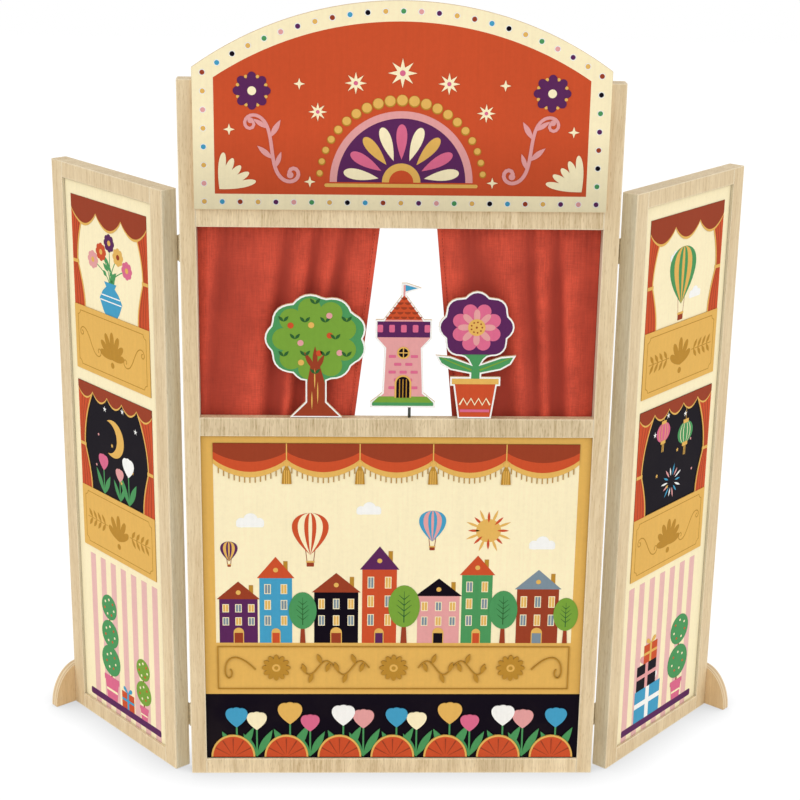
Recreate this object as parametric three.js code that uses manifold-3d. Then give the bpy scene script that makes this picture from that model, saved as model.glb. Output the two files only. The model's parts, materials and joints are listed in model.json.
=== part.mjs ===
// Folding wooden puppet theatre: a stage frame between two hinged wings that stand it up.
// Millimetres, +Z up. X runs along the stage frame and +Y points away from the audience.
// The origin is the middle of the stage frame's underside.

import * as THREE from "three";
import { mergeVertices } from "three/addons/utils/BufferGeometryUtils.js";
import Module from "manifold-3d";

const wasm = await Module();
wasm.setup();

// Stage frame
const frameWidth = 430;
const frameDepth = 18;
const stileWidth = 16;
const stileHeight = 743;
const bottomRailHeight = 17;
const middleRailHeight = 20;
const middleRailTop = 404;
const upperRailBottom = 600;
const upperRailHeight = 40;
const topRailHeight = 20;
const stageRailDepth = 10; // the two rails round the stage opening, flush with the front
const edgeEase = 1;
const glueGap = 0.2; // line between two glued faces

// Crown board on the front of the frame
const crownLap = 1; // over each stile, past the stage opening's side
const crownBottom = 618.5;
const crownSideHeight = 136.5; // from its underside to its shoulders
const crownRise = 64; // of the arch, from the shoulders to the peak
const crownThickness = 4;

// Printed panels held in grooves
const panelThickness = 3;
const panelRecess = 3;
const grooveDepth = 5;
const panelClearance = 0.3;

// Dowels that join rails to stiles
const dowelRadius = 3;
const dowelReach = 11; // into each of the two pieces
const dowelClearance = 0.3;

// Wings
const wingWidth = 203;
const wingHeight = 634;
const wingStileWidth = 20;
const wingRailHeight = 17;
const leftFoldDegrees = 50.3; // turned back from flat, as it stands
const rightFoldDegrees = 48;
const footHalfWidth = 34;
const footHeight = 47;
const footThickness = 10;

// Hinges: a leaf on the back of the frame, a leaf on the back of the wing, and a pin
const hingeGap = 3; // between frame and wing when they lie flat
const hingeLength = 26;
const hingeEndDistance = 60; // hinge centre from the wing's nearer end
const leafReach = 13; // from the pin's centre to the leaf's far edge
const leafThickness = 1;
const leafSeatGap = 0.3;
const leafInset = 0.4; // leaf's outer face in front of the pin's centre
const knuckleRadius = 1.8;
const knuckleGap = 0.3;
const pinRadius = 0.95;
const pinClearance = 0.2;
const pinHeadRadius = 1.5;
const pinHeadHeight = 0.7;
const screwHoleRadius = 1.3;
const screwHeadRadius = 2.3;
const countersinkDepth = 0.8;
const screwSpacing = 15;

// Curtains on a dowel rod behind the stage rails
const rodRadius = 2.5;
const rodAboveOpening = 10; // rod centre from the top of the stage opening
const rodInset = 4; // rod centre from the back of the frame
const rodReach = 7; // into each stile
const sleeveClearance = 0.3;
const clothThickness = 0.8;
const clothBottom = 388;
const clothSideGap = 2;
const foldDepth = 2.6; // of the hanging folds, each way
const foldPitch = 23;
const foldSwingLength = 12; // from the rod down to where the folds are full
const hemWidth = 6;
const hemThickness = 1.6;
const leftLeadTop = 19.6; // leading edge from the middle of the stage, at the opening's top
const leftLeadBottom = 44.7; // and at the bottom of the cloth
const rightLeadTop = 36.5;
const rightLeadBottom = 57.3;

// Flat figures on rods that stand in holes in the middle rail
const cardThickness = 3;
const cardRodRadius = 1.5;
const cardRodGap = 0.3;
const cardHoleDepth = 10;
const cardHoleClearance = 0.3;
const treeCard = { middle: -82, width: 106, bottom: 405, height: 131, rodAt: -82, rodTop: 470 };
const towerCard = { middle: 5, width: 65, bottom: 416, height: 129, rodAt: 12, rodTop: 500 };
const flowerCard = { middle: 77.5, width: 84, bottom: 404.6, height: 133, rodAt: 77.5, rodTop: 480 };

// Facets
const dowelSides = 12;
const knuckleSides = 16;
const screwSides = 12;
const archSteps = 40;
const footSteps = 24;
const easeSteps = 3;
const clothRows = 8;
const clothStepsPerFold = 7;

const overrun = 2; // by which a cutting body passes the face that it opens

// Worked out from the sizes above
const frontFace = -frameDepth / 2;
const backFace = frameDepth / 2;
const frameEdge = frameWidth / 2;
const stageHalf = frameEdge - stileWidth;
const crownHalf = stageHalf + crownLap;
const crownShoulder = crownBottom + crownSideHeight;
const middleRailBottom = middleRailTop - middleRailHeight;
const stageRailBack = frontFace + stageRailDepth;
const panelFront = frontFace + panelRecess;
const panelBack = panelFront + panelThickness;
const panelSeat = grooveDepth - panelClearance;
const dowelBore = dowelRadius + dowelClearance;
const pinOffset = leafSeatGap + leafThickness + leafInset; // pin centre behind the back face
const pinY = backFace + pinOffset;
const pinX = frameEdge + hingeGap / 2;
const hingeHeights = { lower: hingeEndDistance, upper: wingHeight - hingeEndDistance };
const rodY = backFace - rodInset;
const rodHeight = upperRailBottom + rodAboveOpening;
const rodBore = rodRadius + sleeveClearance;
const sleeveRadius = rodBore + clothThickness;
const cardRodY = frontFace + cardThickness + cardRodGap + cardRodRadius;

// Materials
const wood = new THREE.MeshStandardMaterial({ color: 0xe3cfa4, roughness: 0.6, metalness: 0 });
const dowelWood = new THREE.MeshStandardMaterial({ color: 0xd8b98a, roughness: 0.7, metalness: 0 });
const footWood = new THREE.MeshStandardMaterial({ color: 0xcfa873, roughness: 0.6, metalness: 0 });
const crownPrint = new THREE.MeshStandardMaterial({ color: 0xd0562c, roughness: 0.5, metalness: 0 });
const stagePrint = new THREE.MeshStandardMaterial({ color: 0xe0a84a, roughness: 0.5, metalness: 0 });
const wingPrint = new THREE.MeshStandardMaterial({ color: 0xf3e2b4, roughness: 0.5, metalness: 0 });
const curtainCloth = new THREE.MeshStandardMaterial({ color: 0xb03a2c, roughness: 0.75, metalness: 0 });
const hingeMetal = new THREE.MeshStandardMaterial({ color: 0x968766, roughness: 0.4, metalness: 1 });
const figureWire = new THREE.MeshStandardMaterial({ color: 0x4c5250, roughness: 0.45, metalness: 1 });
const treePrint = new THREE.MeshStandardMaterial({ color: 0x5fae4e, roughness: 0.55, metalness: 0 });
const towerPrint = new THREE.MeshStandardMaterial({ color: 0xc0508c, roughness: 0.55, metalness: 0 });
const flowerPrint = new THREE.MeshStandardMaterial({ color: 0xe8785a, roughness: 0.55, metalness: 0 });

// Solids

function toSolid(geometry) {
  const bare = geometry.clone();
  bare.deleteAttribute("normal");
  bare.deleteAttribute("uv");
  const merged = mergeVertices(bare, 1e-4);
  const mesh = new wasm.Mesh({
    numProp: 3,
    vertProperties: merged.attributes.position.array,
    triVerts: new Uint32Array(merged.index.array),
  });
  return new wasm.Manifold(mesh);
}

function toGeometry(solid) {
  const mesh = solid.getMesh();
  const geometry = new THREE.BufferGeometry();
  geometry.setAttribute("position", new THREE.BufferAttribute(new Float32Array(mesh.vertProperties), 3));
  geometry.setIndex(new THREE.BufferAttribute(new Uint32Array(mesh.triVerts), 1));
  return geometry;
}

function cut(geometry, tools) {
  return toGeometry(tools.reduce((solid, tool) => solid.subtract(toSolid(tool)), toSolid(geometry)));
}

function join(geometries) {
  const [first, ...others] = geometries.map(toSolid);
  return toGeometry(others.reduce((solid, other) => solid.add(other), first));
}

// A box between two corners, given in any order along each axis.
function box([xa, xb], [ya, yb], [za, zb]) {
  const geometry = new THREE.BoxGeometry(Math.abs(xb - xa), Math.abs(yb - ya), Math.abs(zb - za));
  return geometry.translate((xa + xb) / 2, (ya + yb) / 2, (za + zb) / 2);
}

function extrude(shape, length, curveSegments) {
  return new THREE.ExtrudeGeometry(shape, { depth: length, bevelEnabled: false, curveSegments });
}

// A shape drawn in X and Z, filling from y = ya to y = yb.
function plate(shape, ya, yb, curveSegments) {
  const geometry = extrude(shape, yb - ya, curveSegments);
  return geometry.rotateX(Math.PI / 2).translate(0, yb, 0);
}

// A shape drawn in Y and Z, filling between two values of x.
function barAlongX(shape, xa, xb, curveSegments) {
  const toX = new THREE.Matrix4().makeBasis(
    new THREE.Vector3(0, 1, 0),
    new THREE.Vector3(0, 0, 1),
    new THREE.Vector3(1, 0, 0),
  );
  const geometry = extrude(shape, Math.abs(xb - xa), curveSegments);
  return geometry.applyMatrix4(toX).translate(Math.min(xa, xb), 0, 0);
}

// A shape drawn in X and Y, filling between two heights.
function barAlongZ(shape, za, zb, curveSegments) {
  return extrude(shape, zb - za, curveSegments).translate(0, 0, za);
}

function rodAlongX(radius, xa, xb, y, z, sides) {
  const geometry = new THREE.CylinderGeometry(radius, radius, Math.abs(xb - xa), sides);
  return geometry.rotateZ(Math.PI / 2).translate((xa + xb) / 2, y, z);
}

function rodAlongZ(radius, x, y, za, zb, sides) {
  const geometry = new THREE.CylinderGeometry(radius, radius, zb - za, sides);
  return geometry.rotateX(Math.PI / 2).translate(x, y, (za + zb) / 2);
}

// A rectangle whose corners are eased where asked, in the order low-low, high-low, high-high, low-high.
// Its outline starts at an eased corner, because an arc isn't joined to a bare starting point.
function easedRectangle([a0, a1], [b0, b1], eased) {
  const shape = new THREE.Shape();
  const corners = [
    [a0, b0, Math.PI],
    [a1, b0, -Math.PI / 2],
    [a1, b1, 0],
    [a0, b1, Math.PI / 2],
  ];
  const first = Math.max(0, eased.indexOf(true));
  corners.forEach((_, step) => {
    const i = (first + step) % corners.length;
    const [a, b, start] = corners[i];
    if (eased[i]) {
      const centreA = a + (a === a0 ? edgeEase : -edgeEase);
      const centreB = b + (b === b0 ? edgeEase : -edgeEase);
      shape.absarc(centreA, centreB, edgeEase, start, start + Math.PI / 2, false);
    } else if (step === 0) {
      shape.moveTo(a, b);
    } else {
      shape.lineTo(a, b);
    }
  });
  shape.closePath();
  return shape;
}

const root = new THREE.Group();

function add(group, name, geometry, material) {
  const mesh = new THREE.Mesh(geometry, material);
  mesh.name = name;
  group.add(mesh);
  return mesh;
}

// Stage frame

// Each rail's heights, its back face and the height and depth of the dowels in its ends.
const stageRails = {
  bottom: { low: 0, high: bottomRailHeight, back: backFace },
  middle: { low: middleRailBottom, high: middleRailTop, back: stageRailBack },
  upper: { low: upperRailBottom, high: upperRailBottom + upperRailHeight, back: stageRailBack },
  top: { low: stileHeight - topRailHeight, high: stileHeight, back: backFace },
};
const grooveInBottomRail = bottomRailHeight - grooveDepth;
const grooveInMiddleRail = middleRailBottom + grooveDepth;

// The dowels keep to the part of a rail that its panel groove leaves whole.
function dowelPlace(name) {
  const rail = stageRails[name];
  const low = name === "middle" ? grooveInMiddleRail : rail.low;
  const high = name === "bottom" ? grooveInBottomRail : rail.high;
  return { y: (frontFace + rail.back) / 2, z: (low + high) / 2 };
}

function panelGroove(xs, zs) {
  return box(xs, [panelFront - panelClearance, panelBack + panelClearance], zs);
}

function stageStile(side) {
  const outer = side * frameEdge;
  const inner = side * stageHalf;
  const [low, high] = [Math.min(outer, inner), Math.max(outer, inner)];
  const outerCorners = side < 0 ? [true, false, false, true] : [false, true, true, false];
  const section = easedRectangle([low, high], [frontFace, backFace], outerCorners);
  const post = barAlongZ(section, 0, stileHeight, easeSteps);
  const dowelEnd = inner + side * (dowelReach + dowelClearance);
  const dowelHoles = Object.keys(stageRails).map((name) => {
    const { y, z } = dowelPlace(name);
    return rodAlongX(dowelBore, inner - side * overrun, dowelEnd, y, z, dowelSides);
  });
  const rodHole = rodAlongX(
    rodBore,
    inner - side * overrun,
    inner + side * (rodReach + sleeveClearance),
    rodY,
    rodHeight,
    knuckleSides,
  );
  const groove = panelGroove(
    [inner - side * overrun, inner + side * grooveDepth],
    [grooveInBottomRail, grooveInMiddleRail],
  );
  return cut(post, [...dowelHoles, rodHole, groove]);
}

const railHalf = stageHalf - glueGap;

function stageRail(name) {
  const rail = stageRails[name];
  const easedCorners = {
    bottom: [false, false, true, true],
    middle: [true, true, true, true],
    upper: [true, true, false, false],
    top: [false, false, false, false],
  };
  const section = easedRectangle([frontFace, rail.back], [rail.low, rail.high], easedCorners[name]);
  const bar = barAlongX(section, -railHalf, railHalf, easeSteps);
  const { y, z } = dowelPlace(name);
  const holes = [-1, 1].map((side) => {
    const innerEnd = side * (stageHalf - dowelReach - dowelClearance);
    return rodAlongX(dowelBore, innerEnd, side * (railHalf + overrun), y, z, dowelSides);
  });
  const grooves = [];
  const grooveSpan = [-railHalf - overrun, railHalf + overrun];
  if (name === "bottom") grooves.push(panelGroove(grooveSpan, [grooveInBottomRail, rail.high + overrun]));
  if (name === "middle") {
    grooves.push(panelGroove(grooveSpan, [rail.low - overrun, grooveInMiddleRail]));
    for (const card of [treeCard, towerCard, flowerCard]) {
      const holeRadius = cardRodRadius + cardHoleClearance;
      const holeBottom = middleRailTop - cardHoleDepth;
      grooves.push(
        rodAlongZ(holeRadius, card.rodAt, cardRodY, holeBottom, middleRailTop + overrun, dowelSides),
      );
    }
  }
  return cut(bar, [...holes, ...grooves]);
}

function buildStageFrame() {
  add(root, "left_stile", stageStile(-1), wood);
  add(root, "right_stile", stageStile(1), wood);
  for (const name of Object.keys(stageRails)) {
    add(root, name + "_rail", stageRail(name), wood);
    const { y, z } = dowelPlace(name);
    for (const side of [-1, 1]) {
      const ends = [side * (stageHalf - dowelReach), side * (stageHalf + dowelReach)];
      const dowel = rodAlongX(dowelRadius, ends[0], ends[1], y, z, dowelSides);
      add(root, (side < 0 ? "left_" : "right_") + name + "_dowel", dowel, dowelWood);
    }
  }
  const panelHalf = stageHalf + panelSeat;
  const lowerPanel = box(
    [-panelHalf, panelHalf],
    [panelFront, panelBack],
    [grooveInBottomRail + panelClearance, grooveInMiddleRail - panelClearance],
  );
  add(root, "lower_panel", lowerPanel, stagePrint);
}

// The crown's arch is a circle through its two shoulders and its peak.
function crownShape() {
  const radius = (crownHalf * crownHalf + crownRise * crownRise) / (2 * crownRise);
  const centre = crownShoulder + crownRise - radius;
  const start = Math.atan2(crownShoulder - centre, crownHalf);
  const shape = new THREE.Shape();
  shape.moveTo(-crownHalf, crownBottom);
  shape.lineTo(crownHalf, crownBottom);
  shape.lineTo(crownHalf, crownShoulder);
  shape.absarc(0, centre, radius, start, Math.PI - start, false);
  shape.closePath();
  return shape;
}

function buildCrown() {
  const board = plate(crownShape(), frontFace - crownThickness, frontFace, archSteps);
  add(root, "crown_board", board, crownPrint);
}

// Curtains

function buildCurtainRod() {
  const half = stageHalf + rodReach;
  const rod = rodAlongX(rodRadius, -half, half, rodY, rodHeight, knuckleSides);
  add(root, "curtain_rod", rod, wood);
}

// A length of tube round the rod.
function sleeve(xa, xb) {
  const ring = new THREE.Shape();
  ring.absarc(rodY, rodHeight, sleeveRadius, 0, 2 * Math.PI, false);
  const bore = new THREE.Path();
  bore.absarc(rodY, rodHeight, rodBore, 0, 2 * Math.PI, true);
  ring.holes.push(bore);
  return barAlongX(ring, xa, xb, knuckleSides);
}

// A closed sheet: x and y of its middle surface are given at each share of its width and height.
function sheet(columns, rows, thickness, place) {
  const positions = [];
  const indices = [];
  const stride = columns + 1;
  const layer = stride * (rows + 1);
  for (const offset of [-thickness / 2, thickness / 2]) {
    for (let row = 0; row <= rows; row += 1) {
      for (let column = 0; column <= columns; column += 1) {
        const [x, y, z] = place(column / columns, row / rows);
        positions.push(x, y + offset, z);
      }
    }
  }
  const quad = (a, b, c, d) => indices.push(a, b, c, a, c, d);
  for (let row = 0; row < rows; row += 1) {
    for (let column = 0; column < columns; column += 1) {
      const a = row * stride + column;
      quad(a, a + 1, a + 1 + stride, a + stride);
      quad(layer + a, layer + a + stride, layer + a + 1 + stride, layer + a + 1);
    }
  }
  for (let column = 0; column < columns; column += 1) {
    const last = rows * stride + column;
    quad(column + 1, column, layer + column, layer + column + 1);
    quad(last, last + 1, layer + last + 1, layer + last);
  }
  for (let row = 0; row < rows; row += 1) {
    const first = row * stride;
    const last = first + columns;
    quad(first, first + stride, layer + first + stride, layer + first);
    quad(last + stride, last, layer + last, layer + last + stride);
  }
  const geometry = new THREE.BufferGeometry();
  geometry.setAttribute("position", new THREE.Float32BufferAttribute(positions, 3));
  geometry.setIndex(indices);
  return geometry;
}

// One curtain hangs from a sleeve on the rod, with its leading hem on a loop of its own.
function buildCurtain(name, side, leadTop, leadBottom) {
  const clothTop = rodHeight - (rodBore + sleeveRadius) / 2;
  const lead = (z) => {
    const share = (upperRailBottom - z) / (upperRailBottom - clothBottom);
    return side * (leadTop + share * (leadBottom - leadTop));
  };
  const outerEdge = side * (stageHalf - clothSideGap);
  const seamGap = side * (hemWidth + glueGap);
  const folds = Math.round((stageHalf - leadTop) / foldPitch);
  const place = (across, down) => {
    const z = clothTop + down * down * (clothBottom - clothTop);
    const x = outerEdge + across * (lead(z) + seamGap - outerEdge);
    const full = Math.min(1, (clothTop - z) / foldSwingLength);
    const drift = Math.sin(2 * Math.PI * across * 3) / (2 * Math.PI);
    const wave = Math.sin(2 * Math.PI * (folds * across + drift * (1 + down / 2)));
    const second = Math.sin(Math.PI * (folds * across * 3 + 1 + down)) / 4;
    return [x, rodY + foldDepth * full * (wave + second) * (3 / 4 + down / 4), z];
  };
  const hangs = sheet(folds * clothStepsPerFold, clothRows, clothThickness, place);
  if (side < 0) turnInsideOut(hangs);
  const sleeveEnd = lead(clothTop) + seamGap;
  const cloth = join([hangs, sleeve(outerEdge, sleeveEnd)]);
  add(root, name + "_curtain", cloth, curtainCloth);

  const top = lead(clothTop);
  const bottom = lead(clothBottom);
  const strip = new THREE.Shape();
  strip.moveTo(top, clothTop);
  strip.lineTo(top + side * hemWidth, clothTop);
  strip.lineTo(bottom + side * hemWidth, clothBottom);
  strip.lineTo(bottom, clothBottom);
  strip.closePath();
  const hemPlate = plate(strip, rodY - hemThickness / 2, rodY + hemThickness / 2, 1);
  const hem = join([hemPlate, sleeve(top, top + side * hemWidth)]);
  add(root, name + "_curtain_hem", hem, curtainCloth);
}

function turnInsideOut(geometry) {
  const index = geometry.index.array;
  for (let i = 0; i < index.length; i += 3) [index[i + 1], index[i + 2]] = [index[i + 2], index[i + 1]];
}

// Wings

// A wing is drawn flat, with the hinge pin's centre as its origin, and then turned back.
// Distances run outwards from the pin, and side is -1 on the left and 1 on the right.
const wingBack = -pinOffset;
const wingFront = wingBack - frameDepth;
const wingNear = hingeGap / 2;
const wingFar = wingNear + wingWidth;
const wingPanelFront = wingFront + panelRecess;
const wingPanelBack = wingPanelFront + panelThickness;
const wingMiddle = (wingFront + wingBack) / 2;
const wingRails = {
  bottom: { low: 0, high: wingRailHeight },
  top: { low: wingHeight - wingRailHeight, high: wingHeight },
};
const wingGrooveLow = wingRailHeight - grooveDepth;
const wingGrooveHigh = wingHeight - wingRailHeight + grooveDepth;

function wingDowelHeight(name) {
  const rail = wingRails[name];
  return name === "bottom" ? (rail.low + wingGrooveLow) / 2 : (wingGrooveHigh + rail.high) / 2;
}

function wingGroove(xs, zs) {
  return box(xs, [wingPanelFront - panelClearance, wingPanelBack + panelClearance], zs);
}

function wingStile(side, near) {
  const from = side * (near ? wingNear : wingFar - wingStileWidth);
  const to = side * (near ? wingNear + wingStileWidth : wingFar);
  const opening = near ? to : from;
  const inwards = near ? side : -side;
  const outerIsHigh = (near ? from : to) > opening;
  const outerCorners = outerIsHigh ? [false, true, true, false] : [true, false, false, true];
  const section = easedRectangle(
    [Math.min(from, to), Math.max(from, to)],
    [wingFront, wingBack],
    outerCorners,
  );
  const post = barAlongZ(section, 0, wingHeight, easeSteps);
  const holes = Object.keys(wingRails).map((name) =>
    rodAlongX(
      dowelBore,
      opening + inwards * overrun,
      opening - inwards * (dowelReach + dowelClearance),
      wingMiddle + panelThickness,
      wingDowelHeight(name),
      dowelSides,
    ),
  );
  const groove = wingGroove(
    [opening + inwards * overrun, opening - inwards * grooveDepth],
    [wingGrooveLow, wingGrooveHigh],
  );
  return cut(post, [...holes, groove]);
}

function wingRail(side, name) {
  const rail = wingRails[name];
  const near = wingNear + wingStileWidth + glueGap;
  const far = wingFar - wingStileWidth - glueGap;
  const easedCorners = name === "bottom" ? [false, false, true, true] : [true, true, false, false];
  const section = easedRectangle([wingFront, wingBack], [rail.low, rail.high], easedCorners);
  const bar = barAlongX(section, side * near, side * far, easeSteps);
  const y = wingMiddle + panelThickness;
  const z = wingDowelHeight(name);
  const reach = dowelReach + dowelClearance - glueGap;
  const holes = [
    rodAlongX(dowelBore, side * (near - overrun), side * (near + reach), y, z, dowelSides),
    rodAlongX(dowelBore, side * (far - reach), side * (far + overrun), y, z, dowelSides),
  ];
  const heights =
    name === "bottom" ? [wingGrooveLow, rail.high + overrun] : [rail.low - overrun, wingGrooveHigh];
  const groove = wingGroove([side * (near - overrun), side * (far + overrun)], heights);
  return cut(bar, [...holes, groove]);
}

// A half oval across the wing's outer edge, so that the wing stands square on the floor.
function wingFoot(side) {
  const shape = new THREE.Shape();
  shape.moveTo(wingMiddle + footHalfWidth, 0);
  shape.absellipse(wingMiddle, 0, footHalfWidth, footHeight, 0, Math.PI, false, 0);
  shape.closePath();
  const near = wingFar + glueGap;
  return barAlongX(shape, side * near, side * (near + footThickness), footSteps);
}

function buildWing(name, side, foldDegrees) {
  const wing = new THREE.Group();
  wing.position.set(side * pinX, pinY, 0);
  wing.rotation.z = side * THREE.MathUtils.degToRad(foldDegrees);
  root.add(wing);
  add(wing, name + "_wing_inner_stile", wingStile(side, true), wood);
  add(wing, name + "_wing_outer_stile", wingStile(side, false), wood);
  const joints = { inner: wingNear + wingStileWidth, outer: wingFar - wingStileWidth };
  for (const railName of Object.keys(wingRails)) {
    add(wing, name + "_wing_" + railName + "_rail", wingRail(side, railName), wood);
    for (const [where, joint] of Object.entries(joints)) {
      const dowel = rodAlongX(
        dowelRadius,
        side * (joint - dowelReach),
        side * (joint + dowelReach),
        wingMiddle + panelThickness,
        wingDowelHeight(railName),
        dowelSides,
      );
      add(wing, name + "_wing_" + railName + "_" + where + "_dowel", dowel, dowelWood);
    }
  }
  const panelNear = wingNear + wingStileWidth - panelSeat;
  const panelFar = wingFar - wingStileWidth + panelSeat;
  const panel = box(
    [side * panelNear, side * panelFar],
    [wingPanelFront, wingPanelBack],
    [wingGrooveLow + panelClearance, wingGrooveHigh - panelClearance],
  );
  add(wing, name + "_wing_panel", panel, wingPrint);
  add(wing, name + "_wing_foot", wingFoot(side), footWood);
  return wing;
}

// Hinges

// A leaf with its knuckles, drawn round the pin's centre, reaching towards -X or +X.
function hingeLeaf(direction, middle, knuckles) {
  const outerFace = -leafInset;
  const woodFace = outerFace - leafThickness;
  const low = middle - hingeLength / 2;
  const plateStart = knuckleRadius + knuckleGap;
  const leafPlate = box(
    [direction * plateStart, direction * leafReach],
    [woodFace, outerFace],
    [low, low + hingeLength],
  );
  const pieces = [leafPlate];
  for (const [from, to] of knuckles) {
    pieces.push(rodAlongZ(knuckleRadius, 0, 0, low + from, low + to, knuckleSides));
    const tongue = [direction * plateStart + (direction * leafThickness) / 2, 0];
    pieces.push(box(tongue, [woodFace, outerFace], [low + from, low + to]));
  }
  const cuts = [
    rodAlongZ(pinRadius + pinClearance, 0, 0, low - overrun, low + hingeLength + overrun, knuckleSides),
  ];
  const screwX = (direction * (plateStart + leafReach)) / 2;
  for (const step of [-1, 1]) {
    const z = middle + (step * screwSpacing) / 2;
    const hole = new THREE.CylinderGeometry(
      screwHoleRadius,
      screwHoleRadius,
      leafThickness + 2 * overrun,
      screwSides,
    );
    cuts.push(hole.translate(screwX, (woodFace + outerFace) / 2, z));
    const sink = new THREE.CylinderGeometry(
      screwHeadRadius + overrun,
      screwHoleRadius,
      ((screwHeadRadius + overrun - screwHoleRadius) / (screwHeadRadius - screwHoleRadius)) *
        countersinkDepth,
      screwSides,
    );
    const sinkHeight = sink.parameters.height;
    cuts.push(sink.translate(screwX, outerFace - countersinkDepth + sinkHeight / 2, z));
  }
  return cut(join(pieces), cuts);
}

function hingePin(middle) {
  const half = hingeLength / 2 + knuckleGap;
  const profile = [
    new THREE.Vector2(0, -half - pinHeadHeight),
    new THREE.Vector2(pinHeadRadius / 2, -half - pinHeadHeight),
    new THREE.Vector2(pinHeadRadius, -half),
    new THREE.Vector2(pinRadius, -half),
    new THREE.Vector2(pinRadius, half),
    new THREE.Vector2(pinHeadRadius, half),
    new THREE.Vector2(pinHeadRadius / 2, half + pinHeadHeight),
    new THREE.Vector2(0, half + pinHeadHeight),
  ];
  return new THREE.LatheGeometry(profile, knuckleSides).rotateX(Math.PI / 2).translate(0, 0, middle);
}

function buildHinges(name, side, wing) {
  const fixed = new THREE.Group();
  fixed.position.set(side * pinX, pinY, 0);
  root.add(fixed);
  const quarter = hingeLength / 4;
  const outerKnuckles = [
    [0, quarter - knuckleGap / 2],
    [hingeLength - quarter + knuckleGap / 2, hingeLength],
  ];
  const middleKnuckle = [[quarter + knuckleGap / 2, hingeLength - quarter - knuckleGap / 2]];
  for (const [where, height] of Object.entries(hingeHeights)) {
    const prefix = name + "_" + where + "_hinge_";
    add(fixed, prefix + "frame_leaf", hingeLeaf(-side, height, outerKnuckles), hingeMetal);
    add(fixed, prefix + "pin", hingePin(height), hingeMetal);
    add(wing, prefix + "wing_leaf", hingeLeaf(side, height, middleKnuckle), hingeMetal);
  }
}

// Flat figures

// Outlines are drawn in shares of the card's width, from its middle, and of its height, from its foot.
function treeOutline() {
  const lobes = 9;
  const steps = 54;
  const crownMiddleShare = 0.63;
  const crownWidthShare = 0.46;
  const crownHeightShare = 0.335;
  const lobeShare = 0.1;
  const trunkShare = 0.1;
  const rootShare = 0.25;
  const gapAngle = Math.PI / 10;
  const points = [];
  for (let i = 0; i <= steps; i += 1) {
    const angle = -Math.PI / 2 + gapAngle + (i / steps) * (2 * Math.PI - 2 * gapAngle);
    const swell = 1 + lobeShare * (Math.abs(Math.sin((angle * lobes) / 2)) - 0.5);
    points.push([
      crownWidthShare * swell * Math.cos(angle),
      crownMiddleShare + crownHeightShare * swell * Math.sin(angle),
    ]);
  }
  points.push([-trunkShare, crownMiddleShare - crownHeightShare]);
  points.push([-trunkShare, rootShare / 2]);
  points.push([-rootShare, 0]);
  points.push([rootShare, 0]);
  points.push([trunkShare, rootShare / 2]);
  points.push([trunkShare, crownMiddleShare - crownHeightShare]);
  return points;
}

// A half outline, run upwards on one side, as it runs down the other.
function mirrored(halfShares) {
  return halfShares.map(([across, up]) => [-across, up]).reverse();
}

function towerOutline() {
  const wallAndRoofShares = [
    [0.5, 0],
    [0.5, 0.045],
    [0.41, 0.08],
    [0.32, 0.12],
    [0.29, 0.48],
    [0.43, 0.56],
    [0.43, 0.71],
    [0.31, 0.71],
    [0.04, 0.9],
  ];
  const pennantShares = [
    [0.04, 0.925],
    [0.26, 0.962],
    [0.04, 1],
    [-0.04, 1],
  ];
  return [...wallAndRoofShares, ...pennantShares, ...mirrored(wallAndRoofShares)];
}

function flowerOutline() {
  const petals = 8;
  const steps = 48;
  const bloomMiddleShare = 0.72;
  const bloomWidthShare = 0.42;
  const bloomHeightShare = 0.26;
  const petalShare = 0.14;
  const gapAngle = Math.PI / 14;
  const points = [];
  for (let i = 0; i <= steps; i += 1) {
    const angle = -Math.PI / 2 + gapAngle + (i / steps) * (2 * Math.PI - 2 * gapAngle);
    const swell = 1 + petalShare * (Math.abs(Math.cos((angle * petals) / 2)) - 0.5);
    points.push([
      bloomWidthShare * swell * Math.cos(angle),
      bloomMiddleShare + bloomHeightShare * swell * Math.sin(angle),
    ]);
  }
  const potAndLeafShares = [
    [0.2, 0],
    [0.26, 0.26],
    [0.3, 0.26],
    [0.3, 0.33],
    [0.07, 0.33],
    [0.07, 0.355],
    [0.3, 0.385],
    [0.42, 0.43],
    [0.48, 0.5],
    [0.3, 0.49],
    [0.07, 0.435],
  ];
  return [...points, ...mirrored(potAndLeafShares), ...potAndLeafShares];
}

function buildCard(name, card, outlineShares, material) {
  const points = outlineShares.map(
    ([across, up]) => new THREE.Vector2(card.middle + across * card.width, card.bottom + up * card.height),
  );
  const board = plate(new THREE.Shape(points), frontFace, frontFace + cardThickness, 1);
  add(root, name + "_card", board, material);
  const rodBottom = middleRailTop - cardHoleDepth + cardHoleClearance;
  const rod = rodAlongZ(cardRodRadius, card.rodAt, cardRodY, rodBottom, card.rodTop, dowelSides);
  add(root, name + "_rod", rod, figureWire);
}

buildStageFrame();
buildCrown();
buildCurtainRod();
buildCurtain("left", -1, leftLeadTop, leftLeadBottom);
buildCurtain("right", 1, rightLeadTop, rightLeadBottom);
const leftWing = buildWing("left", -1, leftFoldDegrees);
const rightWing = buildWing("right", 1, rightFoldDegrees);
buildHinges("left", -1, leftWing);
buildHinges("right", 1, rightWing);
buildCard("tree", treeCard, treeOutline(), treePrint);
buildCard("tower", towerCard, towerOutline(), towerPrint);
buildCard("flower", flowerCard, flowerOutline(), flowerPrint);

export default root;
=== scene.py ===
"""A folding wooden puppet theatre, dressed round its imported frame.

The print on each board is laid as thin slabs of ink, one object for each ink. Sizes are in millimetres
in the frame's own axes: X along the stage, Y away from the audience and Z up. Meshes are in metres.
"""

import sys

import json
import logging
import math
from contextlib import contextmanager
from dataclasses import dataclass, field
from enum import Enum
from functools import reduce
from typing import Callable, Iterator, Sequence

import bmesh
import bpy
from mathutils import Matrix, Vector
from mathutils.geometry import tessellate_polygon

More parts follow.
